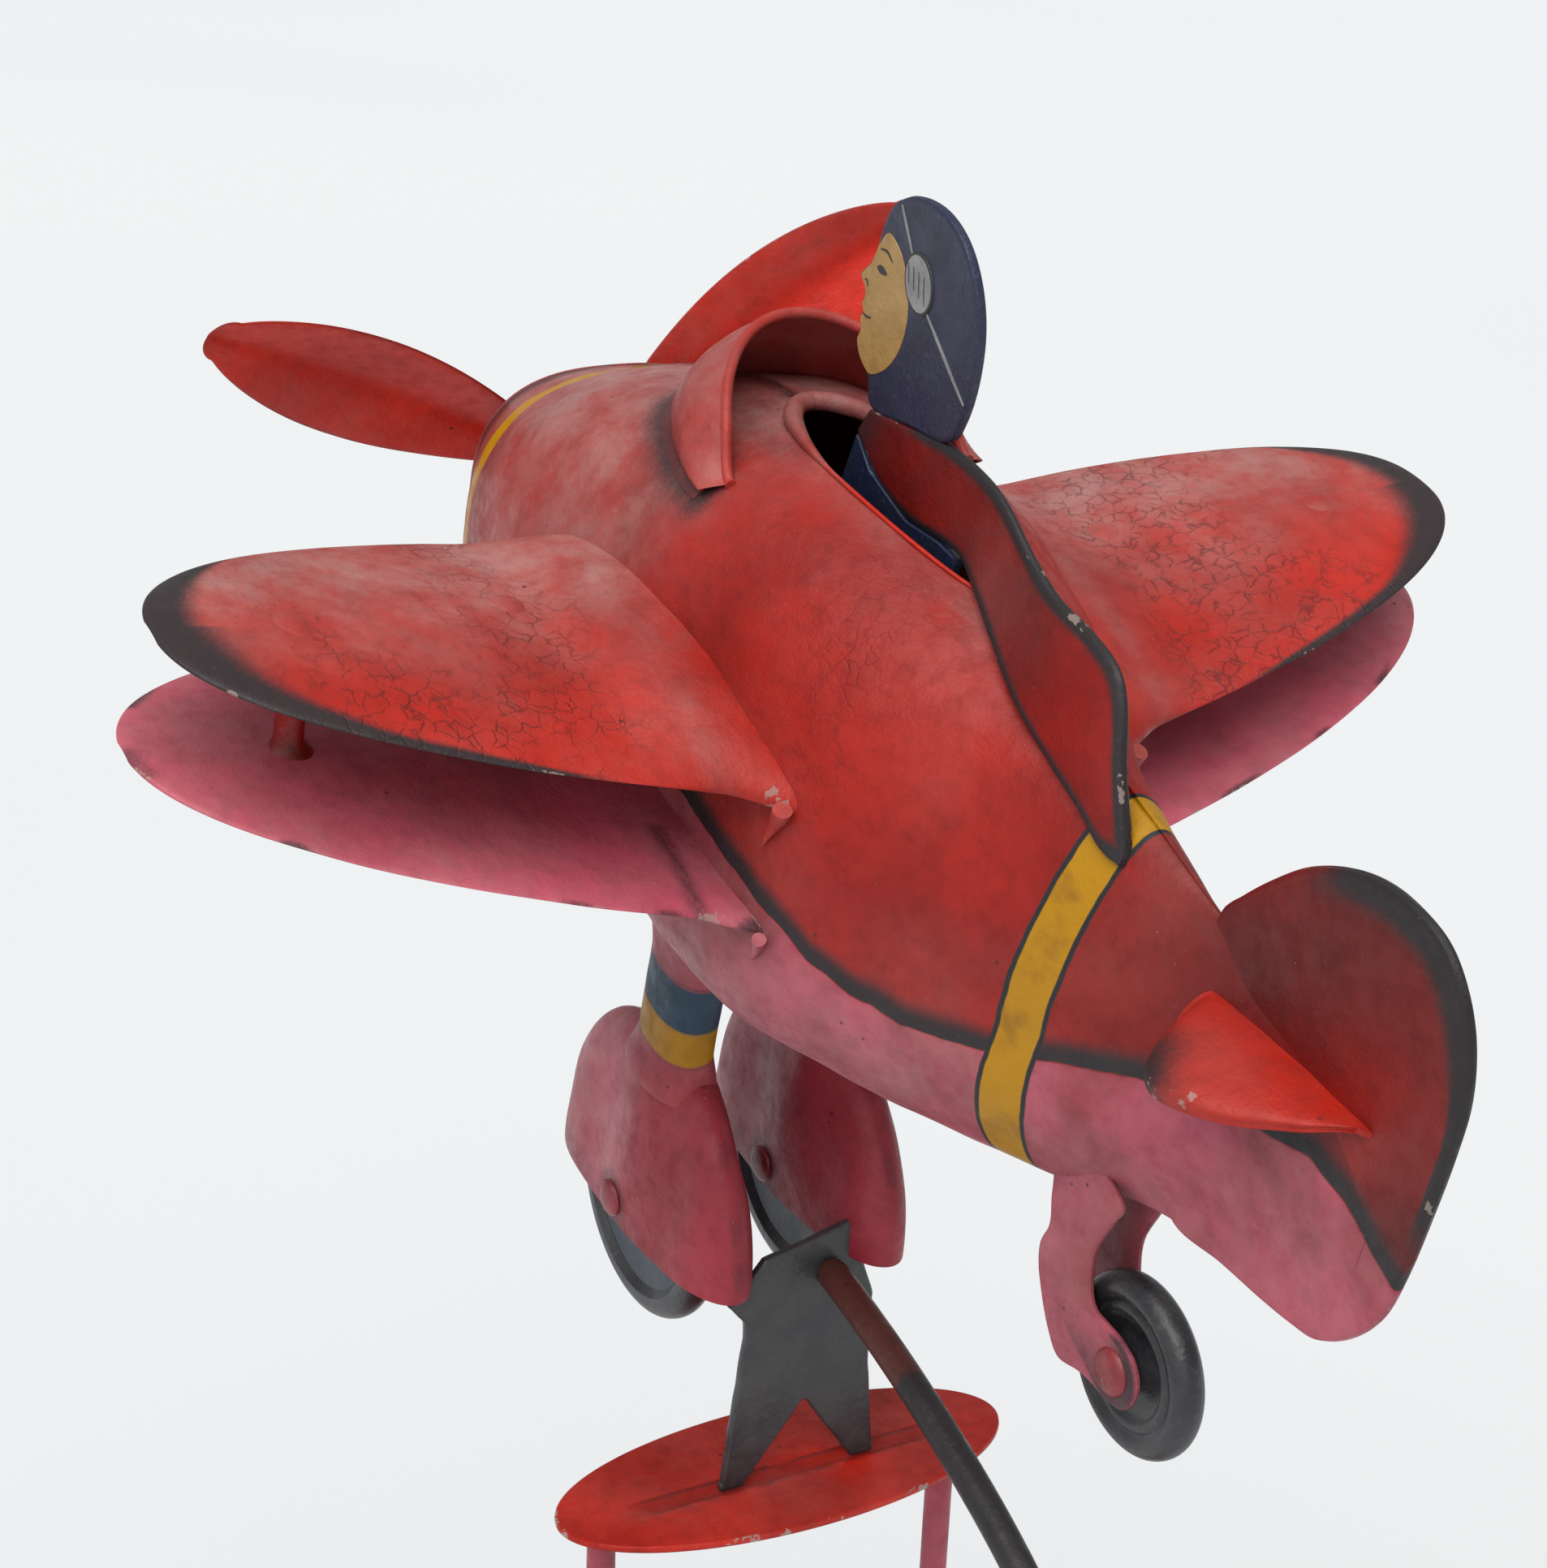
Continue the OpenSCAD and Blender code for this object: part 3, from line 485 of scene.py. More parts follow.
def shape(x):
    top, bottom = hermite(STATIONS, x, 1), hermite(STATIONS, x, 2)
    return top, bottom, bottom + (top - bottom) * hermite(STATIONS, x, 5), hermite(STATIONS, x, 4)


def section(x, a):
    """Points of the fuselage's port side at x, at angles a above its widest line."""
    top, bottom, middle, n = shape(x)
    u = np.abs(np.sin(a)) ** (2 / n)
    y = np.maximum(widest(x) * pinch(x, u, n), 0.05)
    return xyz(x, y, middle + np.where(a >= 0, top - middle, middle - bottom) * np.sign(np.sin(a)) * u)


def half_width(x, z):
    top, bottom, middle, n = shape(x)
    u = np.where(z >= middle, (z - middle) / (top - middle), (middle - z) / (middle - bottom))
    return widest(x) * pinch(x, u, n)


def surface_height(x, y):
    top, _bottom, middle, n = shape(x)
    u = np.clip(np.abs(y) / widest(x), 0, 1)
    return middle + (top - middle) * (1 - u ** n) ** (1 / n)


def cockpit_half(x):
    t = np.clip(np.asarray(x, float) / 64, 0, 1)
    return 10 * np.abs(np.sin(pi * t ** 1.5)) ** 0.45 * (t > 0) * (t < 1)


def screen_foot(a):
    """Where the windscreen stands on the fuselage, at angles a round it."""
    return 47 + 43 * np.cos(a) ** 0.8, 28 * np.sin(a)


def over_line(p):
    """Height above the line where the red upper coat meets the pink lower coat."""
    return p[:, 2] - np.interp(p[:, 0], *zip(*OVER_LINE))


def fuselage_marks(p):
    x, y, z = p.T
    over = over_line(p)
    side = np.clip(np.abs(y) / widest(x), 0, 1)
    glow = smooth(z, 160, 190) * (1 - smooth(x, 25, 62)) * smooth(x, -60, -25) * smooth(side, 0.1, 0.5)
    tone = [(RED, 1), (ORANGE, 0.45 * glow), (DEEP, 0.16), (DEEP, 0.75 * (1 - smooth(x, -88, -50))),
            (DEEP, 0.5 * smooth(-z, -150, -122) * smooth(x, 60, 90)),
            (DEEP, 0.35 * blotch(p, 34, 8.0, 0.05, 0.5))]
    foot = np.stack(screen_foot(np.radians(np.linspace(-88, 88, 45))), -1)
    gap = np.min(np.hypot(x[:, None] - foot[:, 0], y[:, None] - foot[:, 1]), axis=1)
    sooty = bump_at(np.hypot(x - 58, y * 1.1), 0, 24) * (z > 200) * blotch(p, 5, 6.0, -0.3, 0.5)
    char = np.max([0.85 * bump_at(gap, 0, 4.5) * (z > 190) * smooth(np.abs(y), 8, 24),
                   0.7 * bump_at(x, 141, 5) * smooth(z, 150, 170),
                   0.4 * bump_at(np.hypot(x - 56, y), 14, 5) * (z > 205),
                   0.35 * bump_at(np.hypot(x + 60, y * 2), 0, 8) * (z > 190),
                   0.38 * sooty], axis=0)
    haze = 0.12 + 0.8 * smooth(x, 25, 80) * smooth(z, 150, 195)
    haze += 0.4 * smooth(x, -25, 0) * smooth(-side, -0.6, -0.1)
    haze = haze * (1 - 0.9 * glow) * smooth(x, -70, -30) + 0.25 * wobble(p, 26, 3.0) + 0.35 * (over < 0)
    edge = 0.6 * bump_at(np.abs(y) - cockpit_half(x), 0, 1.2) * (z > 200)
    return dict(tone=tone, char=char, haze=haze, edge=edge, craze=bump_at(np.hypot(x - 8, z - 186), 0, 22),
                over=over, lane=1 - smooth(x, 22, 44), band=np.abs(x - BAND_AT),
                ring=np.abs(x - RING_AT) - 0.6 * smooth(z, 165, 190))


def build_fuselage():
    steps = 60
    rows = []
    for x in np.linspace(142, -124, 190):
        half = float(cockpit_half(x))
        start = acos(min(1.0, half / widest(x)) ** (hermite(STATIONS, x, 4) / 2)) if half > 0 else pi / 2
        side = section(np.full(steps, x), start - (start + pi / 2) * np.linspace(0, 1, steps))
        side[-1, 1] = 0
        if half == 0:
            side[0, 1] = 0
        rows.append(np.vstack([side, side[::-1][1:] * [1, -1, 1]]))
    grid = np.array(rows)
    p = grid.reshape(-1, 3)
    x, y, _z = p.T
    out = (p - [0, 0, 160]) * [0, 1, 1]
    out /= np.maximum(np.linalg.norm(out, axis=1), 1e-6)[:, None]
    dent = 0.55 * wobble(p, 17, 1.0) + 0.3 * wobble(p, 8, 5.0) - 0.5
    dent *= smooth(widest(x), 2, 14) * (1 - 0.8 * bump_at(np.abs(y) - cockpit_half(x), 0, 3))
    outer = p + out * dent[:, None]
    inner = outer - out * np.minimum(1.0, np.maximum(widest(x) - 0.9, 0.05))[:, None]
    points, faces = sheet(outer.reshape(grid.shape), inner.reshape(grid.shape))
    make("fuselage_skin", points, faces, skin_paint, "fuselage_port fuselage_starboard", angle=50,
         **fuselage_marks(points))


build_fuselage()


def build_nose():
    a = around(96)
    up = np.where(a > pi, a - 2 * pi, a)
    flip = np.abs(up) > pi / 2
    _x, y, z = section(np.full(96, 142.0), np.where(flip, np.sign(up) * pi - up, up)).T
    profile = [(0.965, -0.9), (0.995, -0.4), (0.995, 0.2), (0.975, 0.9), (0.93, 1.6), (0.85, 2.3), (0.7, 3.0),
               (0.5, 3.5), (0.3, 3.8), (0.1, 3.9)]
    points, faces = tube([xyz(142.05 + h, np.where(flip, -y, y) * s, 153 + (z - 153) * s) for s, h in profile])
    far = np.hypot(points[:, 1], points[:, 2] - 153)
    make("nose_cap_panel", points, faces, toned_paint, "nose_cap",
         tone=[(RED, 1), (DEEP, 0.5 * (1 - smooth(far, 6, 20)))],
         char=0.5 * bump_at(far, 8, 4) + 0.4 * smooth(far, 22, 29), haze=0.5)


build_nose()

FIN = [(-79, 204), (-84, 210.5), (-90, 217), (-97, 222), (-104, 225), (-111, 226), (-119, 225), (-125, 221),
       (-129.5, 215), (-132.3, 207), (-133, 198), (-133, 188), (-132.5, 175), (-131, 165), (-127, 157.5),
       (-121.5, 152), (-116, 150), (-108, 148.2), (-98, 146.5), (-86, 144), (-80, 150), (-78, 170), (-76, 190),
       (-76, 199)]


def build_fin():
    rings = (1, 0.99, 0.975, 0.955, 0.93, 0.9, 0.86, 0.81, 0.75, 0.67, 0.57, 0.45, 0.3, 0.14)
    points, faces, share = disc(spline(FIN, 220, True), (-106, 186), 2.0, 0.9, rings)
    points[:, 1] += 0.25 * wobble(points, 20, 7.0) * (1 - share)
    x, _y, z = points.T
    over = over_line(points)
    border = 1 - smooth((1 - share) * 42, 0.6, 2.5 + 6 * smooth(z, 196, 214))
    tone = [(DEEP, 1), (RED, 0.55 * blotch(points, 30, 2, -0.3, 0.6)),
            (ORANGE, 0.25 * bump_at(x, -112, 12) * bump_at(z, 182, 16))]
    make("tail_fin_plate", points, faces, skin_paint, "tail_fin", tone=tone,
         char=1.05 * border * smooth(-x, 84, 104) * smooth(z, 172, 192) * smooth(over, -6, 4),
         haze=0.02 + 0.35 * (over < 0), edge=0.75 * (share > 0.99) * blotch(points, 9, 4, 0.0, 0.5),
         over=over, lane=1.0, band=99.0, ring=99.0)


build_fin()


# ---------------------------------------------------------------- wings and struts
UPPER = dict(at=(40.3, 168.2), span=130.0, chord=86.0, n=2.26, slot="red_paint")
LOWER = dict(at=(42.7, 143.6), span=133.0, chord=97.0, n=2.05, slot="pink_paint")
RISE = tan(radians(11.8))


def half_chord(w, y):
    return w["chord"] / 2 * (1 - np.clip(y / w["span"], 0, 1) ** w["n"]) ** (1 / w["n"])


def wing_height(w, x, y):
    u = np.clip((x - w["at"][0]) / np.maximum(half_chord(w, y), 0.01), -1, 1)
    return w["at"][1] + y * RISE + 6 * (1 - u * u) * np.sqrt(np.clip(1 - y / w["span"], 0, 1))


def build_wing(name, w, sign, fillet, corner):
    """One wing; fillet is how far its root swells up the fuselage, corner how far its rear corner trails."""
    rows, columns = 90, 73
    mid, chord, span = w["at"][0], w["chord"] / 2, w["span"]
    u = -np.cos(np.linspace(0, pi, columns))
    top, low = [], []
    for s in np.sin(pi / 2 * np.arange(rows) / (rows - 1)):
        lift = fillet * (1 - smooth(s, 0, 0.24))
        root = half_width(mid + u * chord, w["at"][1] + 12 + lift) - 0.8
        y = root + (0.9985 * span - root) * s
        x = mid + u * half_chord(w, y)
        z = wing_height(w, x, y)
        x = x - corner * (1 - smooth(s, 0, 0.13)) * np.clip(-u, 0, 1) ** 6
        thin = 0.6 * np.sqrt(np.clip(1 - u ** 16, 0, 1)) * sqrt(max(1 - s ** 40, 0.0))
        dent = 0.175 * wobble(xyz(x, y * sign, z), 16, 2.0) * smooth(s, 0.0, 0.2)
        rise = lift * np.clip(1 - u * u, 0, 1) ** 0.35
        top.append(xyz(x, y * sign, z + thin + dent + rise))
        low.append(xyz(x, y * sign, z - thin + dent - 0.25 * rise))
    points, faces = sheet(top, low)
    x, y = points[:, 0], np.abs(points[:, 1])
    shell = (np.abs(x - mid) / chord) ** w["n"] + (y / span) ** w["n"]
    inside = (1 - np.clip(shell, 0, 1) ** (1 / w["n"])) * (chord + (span - chord) * (y / span) ** 2)
    edge = 0.95 * (1 - smooth(inside, 0.2, 1.2)) * blotch(points, 7, 5, -0.1, 0.45)
    if w is UPPER:
        back = x < mid
        wide = np.where(back, 1.5 + 4 * smooth(y, 62, 100) + 13 * smooth(y, 96, 127),
                        1.0 + 14 * smooth(y, 104, 127))
        char = (1 - smooth(inside, 0.1, wide)) * np.where(back, smooth(y, 55, 80), smooth(y, 96, 116))
        char = 1.15 * char + 0.08 * wobble(points, 10, 3) * (char > 0.02)
        fore = smooth(x - mid + 0.10 * (y - 60), -24, 30)
        tone = [(RED, 1), (ORANGE, 0.9 * (1 - 0.6 * fore)), (RED, 0.7 * bump_at(y, 45, 6))]
        haze = 0.10 + 0.95 * fore + 0.25 * wobble(points, 18, 9)
        # The pale line of film along the root is a painted highlight on the ridge there.
        haze += 0.2 * bump_at(y, 45, 2.5) - 0.15 * smooth(y, 70, 110)
        craze = smooth(y, 44, 60) * (1 - smooth(y, 100, 120))
    else:
        border = 1 - smooth(inside, 0.2, 2.0 + 2 * smooth(y, 90, 130))
        char = 0.7 * border * blotch(points, 12, 6, 0.15, 0.4)
        char = np.maximum(char, 0.6 * bump_at(y, 46, 2) * (x < 18))
        # The darker crimson towards the front of the lower wing is the upper wing's shadow, painted on.
        tone = [(BLUSH, 1), (CRIMSON, 0.3 * smooth(x - mid, -40, 0))]
        haze = 0.45 + 0.3 * wobble(points, 18, 9)
        craze = 0.0
    make(name + "_sheet", points, faces, toned_paint, name, w["slot"], angle=60,
         tone=tone, char=char, haze=haze, edge=edge, craze=craze)


def build_root_bead(name, w, sign, size):
    """Weld that runs down the fuselage from the corner where a wing's rear edge meets it."""
    t = np.linspace(0, 1, 18)
    x = w["at"][0] - w["chord"] / 2 - 3.6 + 3.0 * t
    z = w["at"][1] + 37 * RISE + 0.4 - 5.0 * size * t
    path = xyz(x, sign * (half_width(x, z) + 0.2 + 2.2 * (1 - t) ** 2), z)
    points, faces = sweep(path, size * (1.0 - 0.9 * t ** 1.5), 18, (1, 0, 0))
    points += 0.2 * wobble(points, 4, 3)[:, None]
    make(name, points, faces, toned_paint, "", w["slot"], haze=0.4,
         tone=[(ORANGE if w is UPPER else PINK, 1), (RED, 0.3)])


def build_strut(name, x, y, sign):
    low, high = wing_height(LOWER, x, y), wing_height(UPPER, x, y)
    z = np.array([low - 0.8, low, low + 0.8, low + 2.5, (low + high) / 2, high - 2.5, high - 1, high - 0.2])
    radius = np.array([4.6, 4.4, 3.5, 2.55, 2.5, 2.55, 3.2, 3.4])
    points, faces = sweep(xyz(x, y * sign, z), radius, 28, (1, 0, 0))
    points += 0.15 * wobble(points, 3, 2)[:, None]
    make(name + "_post", points, faces, strut_paint, name)


def build_weld(name, x, y):
    """Low blister where a strut's weld shows through the wing's upper side."""
    top = wing_height(UPPER, x, abs(y)) + 0.5
    turn = around(36)
    rings = [(0.1, 0.75), (1.0, 0.7), (2.0, 0.5), (3.0, 0.22), (3.9, 0.02), (4.6, -0.25)]
    points = np.vstack([xyz(x + r * np.cos(turn), y + 0.9 * r * np.sin(turn),
                            top + RISE * np.sign(y) * 0.9 * r * np.sin(turn) + h * 1.1) for r, h in rings])
    points[:, 2] += 0.15 * wobble(points, 3, 1)
    far = np.hypot(points[:, 0] - x, points[:, 1] - y)
    make(name, points, grid_faces(len(rings), 36, False, True) + [tuple(range(36))], toned_paint,
         tone=[(ORANGE, 1), (RED, 0.5)], haze=0.35 + 0.05 * far)


for side, sign in SIDES:
    build_root_bead("upper_root_weld_" + side, UPPER, sign, 1.8)
    build_root_bead("lower_root_weld_" + side, LOWER, sign, 1.3)
for side, sign in SIDES:
    build_wing("upper_wing_" + side, UPPER, sign, 7.0, 5.0)
    build_wing("lower_wing_" + side, LOWER, sign, 2.5, 3.0)
for side, sign in SIDES:
    for kind, x, y in (("outer", 41.0, 105.0), ("inner", 50.0, 62.0)):
        build_strut(kind + "_strut_" + side, x, y, sign)
        build_weld(kind + "_weld_" + side, x, y * sign)


# ---------------------------------------------------------------- tailplane
def build_stabilizer(side, sign):
    t = np.linspace(0, 1, 60)[:, None]
    s = np.linspace(0, 1, 24)[None, :]
    x = -81 - 38 * t + 2 * s
    z = 188 + 2.5 * t + 0 * s
    reach = 19 * np.sin(pi * np.clip(t, 0.02, 0.98) ** 0.8) ** 0.75
    y = np.maximum(half_width(x - 2 * s, z), 1) - 0.6 + reach * np.sin(pi / 2 * s)
    outer = xyz(x, y * sign, z - 8 * (1 - np.cos(pi / 2 * s)) * (1 - t * t))
    outer[..., 2] += 0.3 * wobble(outer, 9, 2)
    points, faces = sheet(outer, outer - [0, 0, 1.0])
    x, y, z = points.T
    tip = np.abs(y) / 19
    make("stabilizer_%s_sheet" % side, points, faces, gear_paint, "stabilizer_" + side, bevel=0.35,
         tone=[(ORANGE, 1), (PALE_DUST_AND_SHEEN, 0.08 * bump_at(x, -94, 9) * smooth(tip, 0.1, 0.5))],
         char=0.95 * smooth(x, -100, -84) * smooth(tip, 0.3, 0.95) + 0.25 * bump_at(tip, 1, 0.1),
         haze=0.08, edge=0.7 * (tip > 0.9))


for side, sign in SIDES:
    build_stabilizer(side, sign)


# ---------------------------------------------------------------- cockpit and pilot
def build_windscreen():
    a = np.radians(np.linspace(-88, 88, 110))
    ca, sa = np.cos(a), np.sin(a)
    rim = xyz(46 + 30 * ca ** 1.3, 25 * sa, 208 + 17 * ca ** 0.8)
    low = smooth(np.abs(np.degrees(a)), 66, 87)
    rim[:, 2] = rim[:, 2] * (1 - low) + (surface_height(rim[:, 0], rim[:, 1]) - 0.2) * low
    fx, fy = screen_foot(a)
    foot = xyz(fx, fy, surface_height(fx, fy) - 0.9)
    sx, sy = fx + 2.4 * ca, fy + 1.6 * sa
    grid = [xyz(sx, sy, surface_height(sx, sy) - 0.7)]
    for k in np.linspace(0.05, 1, 22):
        swell = 2.5 * sin(pi * k)
        grid.append(foot * (1 - k) + rim * k + swell * xyz(0.7 * ca, sa, 0.7 * ca))
    outer = np.array(grid)
    outer += (0.25 * wobble(outer, 10, 4))[..., None]
    inward = xyz(-0.75 * ca, -sa, -0.45 * ca)
    points, faces = sheet(outer, outer + inward)
    rows = np.repeat(np.arange(len(grid)), len(a))
    height = np.tile(rows / (len(grid) - 1), 2)
    inside = np.repeat([0.0, 1.0], len(rows))
    make("windscreen_sheet", points, faces, toned_paint, "windscreen", bevel=0.3, angle=50,
         tone=[(RED, 1), (ORANGE, 0.35), (DEEP, 0.35 * (1 - smooth(height, 0, 0.5)))],
         char=0.65 * (1 - smooth(height, 0.0, 0.3)) * (1 - 0.7 * inside) * smooth(np.abs(points[:, 1]), 8, 22),
         haze=0.25 + 0.35 * height)
    points, faces = sweep(rim + inward * 0.5, 1.0, 16, (0, 0.3, 1))
    make("windscreen_hem", points, faces, toned_paint, tone=[(RED, 1), (ORANGE, 0.5)], haze=0.3, edge=0.25)


build_windscreen()


def build_lip():
    """The opening's rolled edge: fat round its front, thin along its sides."""
    share = np.append(np.linspace(0.02, 0.9, 40), 0.9 + 0.1 * np.sin(np.linspace(0.05, 0.99, 30) * pi / 2))
    x = 64 * share
    y = cockpit_half(x)
    port = xyz(x, y + 0.3, surface_height(x, y))
    front = [[64.6, 0, float(surface_height(64.6, 0))]]
    path = spline(np.vstack([port, front, port[::-1] * [1, -1, 1]]), 150)
    radius = 0.4 + 1.4 * smooth(path[:, 0], 36, 60)
    path[:, 2] += radius * 0.4
    points, faces = sweep(path, radius, 18, (0, 0, 1))
    points += 0.2 * wobble(points, 7, 3)[:, None]
    front = smooth(points[:, 0], 25, 50)
    make("cockpit_lip", points, faces, toned_paint, "cockpit_rim", tone=[(ORANGE, 1), (DEEP, 0.55 * front)],
         char=0.25 * front, haze=0.7 * front, edge=0.4 * (1 - front))


build_lip()

HEAD = [(43, 222.3), (30, 225.3), (19.3, 228), (16.2, 233), (15, 241), (16.1, 249.5), (19.8, 256.5),
        (25.8, 261.6), (33.5, 263.7), (42, 262.5), (47.6, 258.8), (49.8, 254.2), (50.6, 249.6), (51.8, 246), (54.3, 242.8),
        (52.3, 241.2), (51.8, 239.8), (52.3, 238.4), (51.4, 237), (51.9, 235.6), (51.1, 233.8), (51.7, 231.6),
        (50.2, 229), (46.2, 226.8)]
FACE_FRONT = [(47.6, 253.4), (49.6, 250.6), (50.4, 248.4), (51.2, 246.2), (53.6, 243.0), (51.8, 241.4),
              (51.3, 239.8), (51.8, 238.3), (50.9, 237), (51.4, 235.6), (50.6, 233.8), (51.2, 231.7),
              (49.8, 229.5), (47, 228)]
EYE = [(45.6, 246.4), (46.9, 247.3), (48.5, 247.1), (49.1, 246.3), (47.5, 245.7)]
# Painted lines: name, width and route; the goggle's ellipses: name, half axes, paint and height
FACE_LINES = [("brow", 0.5, [(44.6, 249.2), (46.8, 250.2), (49.0, 249.8)]),
              ("nostril", 0.4, [(50.9, 241.9), (51.4, 242.7), (52.2, 242.7)]),
              ("mouth", 0.45, [(51.0, 236.9), (49.6, 236.8), (48.1, 237.2)])]
STRAPS = [("strap_upper", 0.6, [(39.4, 253.4), (42, 256.2), (45.2, 259.6)]),
          ("strap_lower", 0.7, [(31.6, 245.8), (26, 242.6), (20, 239.1), (15.9, 236.8)])]
GOGGLE = [("rim", 5.5, 4.5, ink_paint, 0.24), ("lens", 5.0, 4.0, goggle_paint, 0.36)]
GOGGLE_AT = np.array([35.6, 249.5])
GOGGLE_TILT = radians(52)


def inlay(name, outline, material, sign, lift, count=90):
    """A thin raised patch of paint on one side of the pilot's head."""
    shape = spline(outline, count, True)
    middle = shape.mean(0)
    reach = np.linalg.norm(shape - middle, axis=1)[:, None]
    pull = middle + (shape - middle) * (1 - 0.12 / np.maximum(reach, 0.3))
    loops = ((shape, 0.9), (pull, 1 + lift))
    points, faces = tube([xyz(q[:, 0], sign * h, q[:, 1]) for q, h in loops])
    make(name, points, faces, material, "", "navy_paint", angle=30)


def stroke(name, path, width, material, sign, lift):
    """A painted line on the pilot's head, narrowing at both ends."""
    p = spline(path, 24)
    w = width / 2 * np.sin(pi * np.linspace(0.06, 0.94, 24)) ** 0.5
    beside = unit(np.gradient(p, axis=0))[:, ::-1] * [-1, 1] * w[:, None]
    corners = ((p + beside, 0.9), (p + beside, 1 + lift), (p - beside, 1 + lift), (p - beside, 0.9))
    points = np.vstack([xyz(q[:, 0], sign * h, q[:, 1]) for q, h in corners])
    faces = grid_faces(4, 24, True) + [(0, 24, 48, 72), (23, 95, 71, 47)]
    make(name, points, faces, material, "", "navy_paint", angle=30)


def build_head():
    points, faces, _share = disc(spline(HEAD, 320, True), (33, 244), 2.0, 0.55)
    make("pilot_head_plate", points, faces, navy_paint, "pilot_head", "navy_paint")
    opening = [(51 - 14 * cos(a), 240.5 - 14 * sin(a)) for a in np.radians(np.linspace(64, -58, 9))]
    turn = around(36)
    for side, sign in SIDES:
        inlay("face_" + side, FACE_FRONT + opening, face_paint, sign, 0.14, 160)
        inlay("eye_" + side, EYE, ink_paint, sign, 0.22, 40)
        for name, width, path in FACE_LINES:
            stroke(name + "_" + side, path, width, ink_paint, sign, 0.2)
        for part, long, short, cover, lift in GOGGLE:
            a, b = long * np.cos(turn), short * np.sin(turn)
            c, s = cos(GOGGLE_TILT), sin(GOGGLE_TILT)
            ring = GOGGLE_AT + np.stack([a * c - b * s, a * s + b * c], -1)
            inlay("goggle_%s_%s" % (part, side), ring, cover, sign, lift, 72)
        for i in range(4):
            low = np.array([32.6 + 1.9 * i, 246.9 + 0.5 * i])
            path = [low, low + [0.9, 2.6], low + [1.4, 4.6 - 0.4 * i]]
            stroke("lens_line_%d_%s" % (i, side), path, 0.22, ink_paint, sign, 0.42)
        for name, width, path in STRAPS:
            stroke(name + "_" + side, path, width, goggle_paint, sign, 0.16)


build_head()

TORSO = [(40, 211.8), (26, 209.4), (15, 211.2), (9.5, 211.2), (8, 180), (46, 178), (52, 190), (46, 215.8)]
SCARF_TOP = [(43, 0, 222.2), (31, 0, 225), (19, 0, 227.9), (8, 0, 228.5), (-1, 0.5, 227.6), (-12, 1.2, 224),
             (-22, 2, 222.2), (-32, 2.5, 222.5), (-41, 3, 221.6), (-46, 3.5, 217.7), (-51, 4.5, 208.4),
             (-56.7, 5, 199)]
SCARF_LOW = [(46, 0, 216), (37, 0, 211.4), (26, 0, 209.5), (15, 0, 211.3), (8, 0.5, 211.9), (1, 2, 210.9),
             (-11, 5.2, 208.7), (-25, 7.9, 205), (-37, 8, 201.6), (-46.5, 7.4, 198.7), (-53, 7.1, 196.1),
             (-58.2, 6.3, 195.6)]


def build_torso():
    points, faces, _share = disc(dense(TORSO, 120), (30, 195), 2.0, 0.3)
    make("pilot_torso_plate", points, faces, navy_paint, "pilot_body", "navy_paint")


def build_scarf():
    top, low = spline(SCARF_TOP, 150), spline(SCARF_LOW, 150)
    t = np.linspace(0, 1, 150)[:, None]
    k = 0.5 - 0.5 * np.cos(np.linspace(0, pi, 26))
    middle = top[:, None] * (1 - k)[:, None] + low[:, None] * k[:, None]
    middle[..., 1] += 0.8 * np.sin(9 * t + 0.6) * np.sin(pi * k) * smooth(t, 0.15, 0.4)
    half = np.sqrt(1 - (2 * np.abs(k - 0.5)) ** 14) * np.where(t > 0.985, 0.75, 1)
    thick = xyz(0, half, 0)
    points, faces = sheet(middle + thick, middle - thick)
    wide = np.linalg.norm(top - low, axis=1)[:, None]
    near = np.tile((np.minimum(k, 1 - k) * wide).ravel(), 2)
    run = np.tile(np.repeat(t, 26), 2)
    char = 1.1 * (1 - smooth(near, 0.4, 3.4)) * smooth(run, 0.04, 0.2) + 0.6 * (1 - smooth(run, 0.0, 0.12))
    make("scarf_plate", points, faces, toned_paint, "scarf", angle=60,
         tone=[(RED, 1), (DEEP, 0.62 + 0.33 * blotch(points, 14, 2, -0.3, 0.5)),
               (RED, 0.5 * bump_at(run, 0.8, 0.12))],
         char=char + 0.5 * smooth(run, 0.93, 1.0), haze=0.15 * bump_at(run, 0.45, 0.15),
         edge=0.9 * (near < 0.7) * blotch(points, 5, 6, 0.15, 0.4))


build_torso()
build_scarf()

# ---------------------------------------------------------------- main gear
SPAT = [(-4, 33), (15, 34), (35, 38.5), (55, 41.8), (72, 43), (90, 43.6), (110, 44.2), (130, 42.6), (150, 41),
        (168, 40)]
SPAT_AT = (43.5, 39)
AXLE = (43.5, 44)
GEAR_Y = 17.5


def spat_layer(inset):
    """Half of a spat's skin, its depth from the seam as y; inset is how far inside the outer surface."""
    a = np.linspace(-4, 168, 90)[:, None]
    t = 0.03 + 0.97 * np.sin(pi / 2 * np.linspace(0, 1, 34))
    depth = (9 - inset) * np.clip(1 - t ** 4, 0, 1) ** 0.5
    r = (hermite(SPAT, a, 1) - inset) * t
    x, z = SPAT_AT[0] + r * np.cos(np.radians(a)), SPAT_AT[1] + r * np.sin(np.radians(a))
    crest = bump_at(x - 40 + 0.05 * (z - 39), 0, 6) * smooth(z, 40, 62)
    hollow = bump_at(x - 54, 0, 7) * bump_at(z, 58, 16) + bump_at(x - 24, 0, 6) * bump_at(z, 62, 14)
    return xyz(x, depth + (0.9 * crest - 1.3 * hollow) * smooth(depth, 2, 7), z)


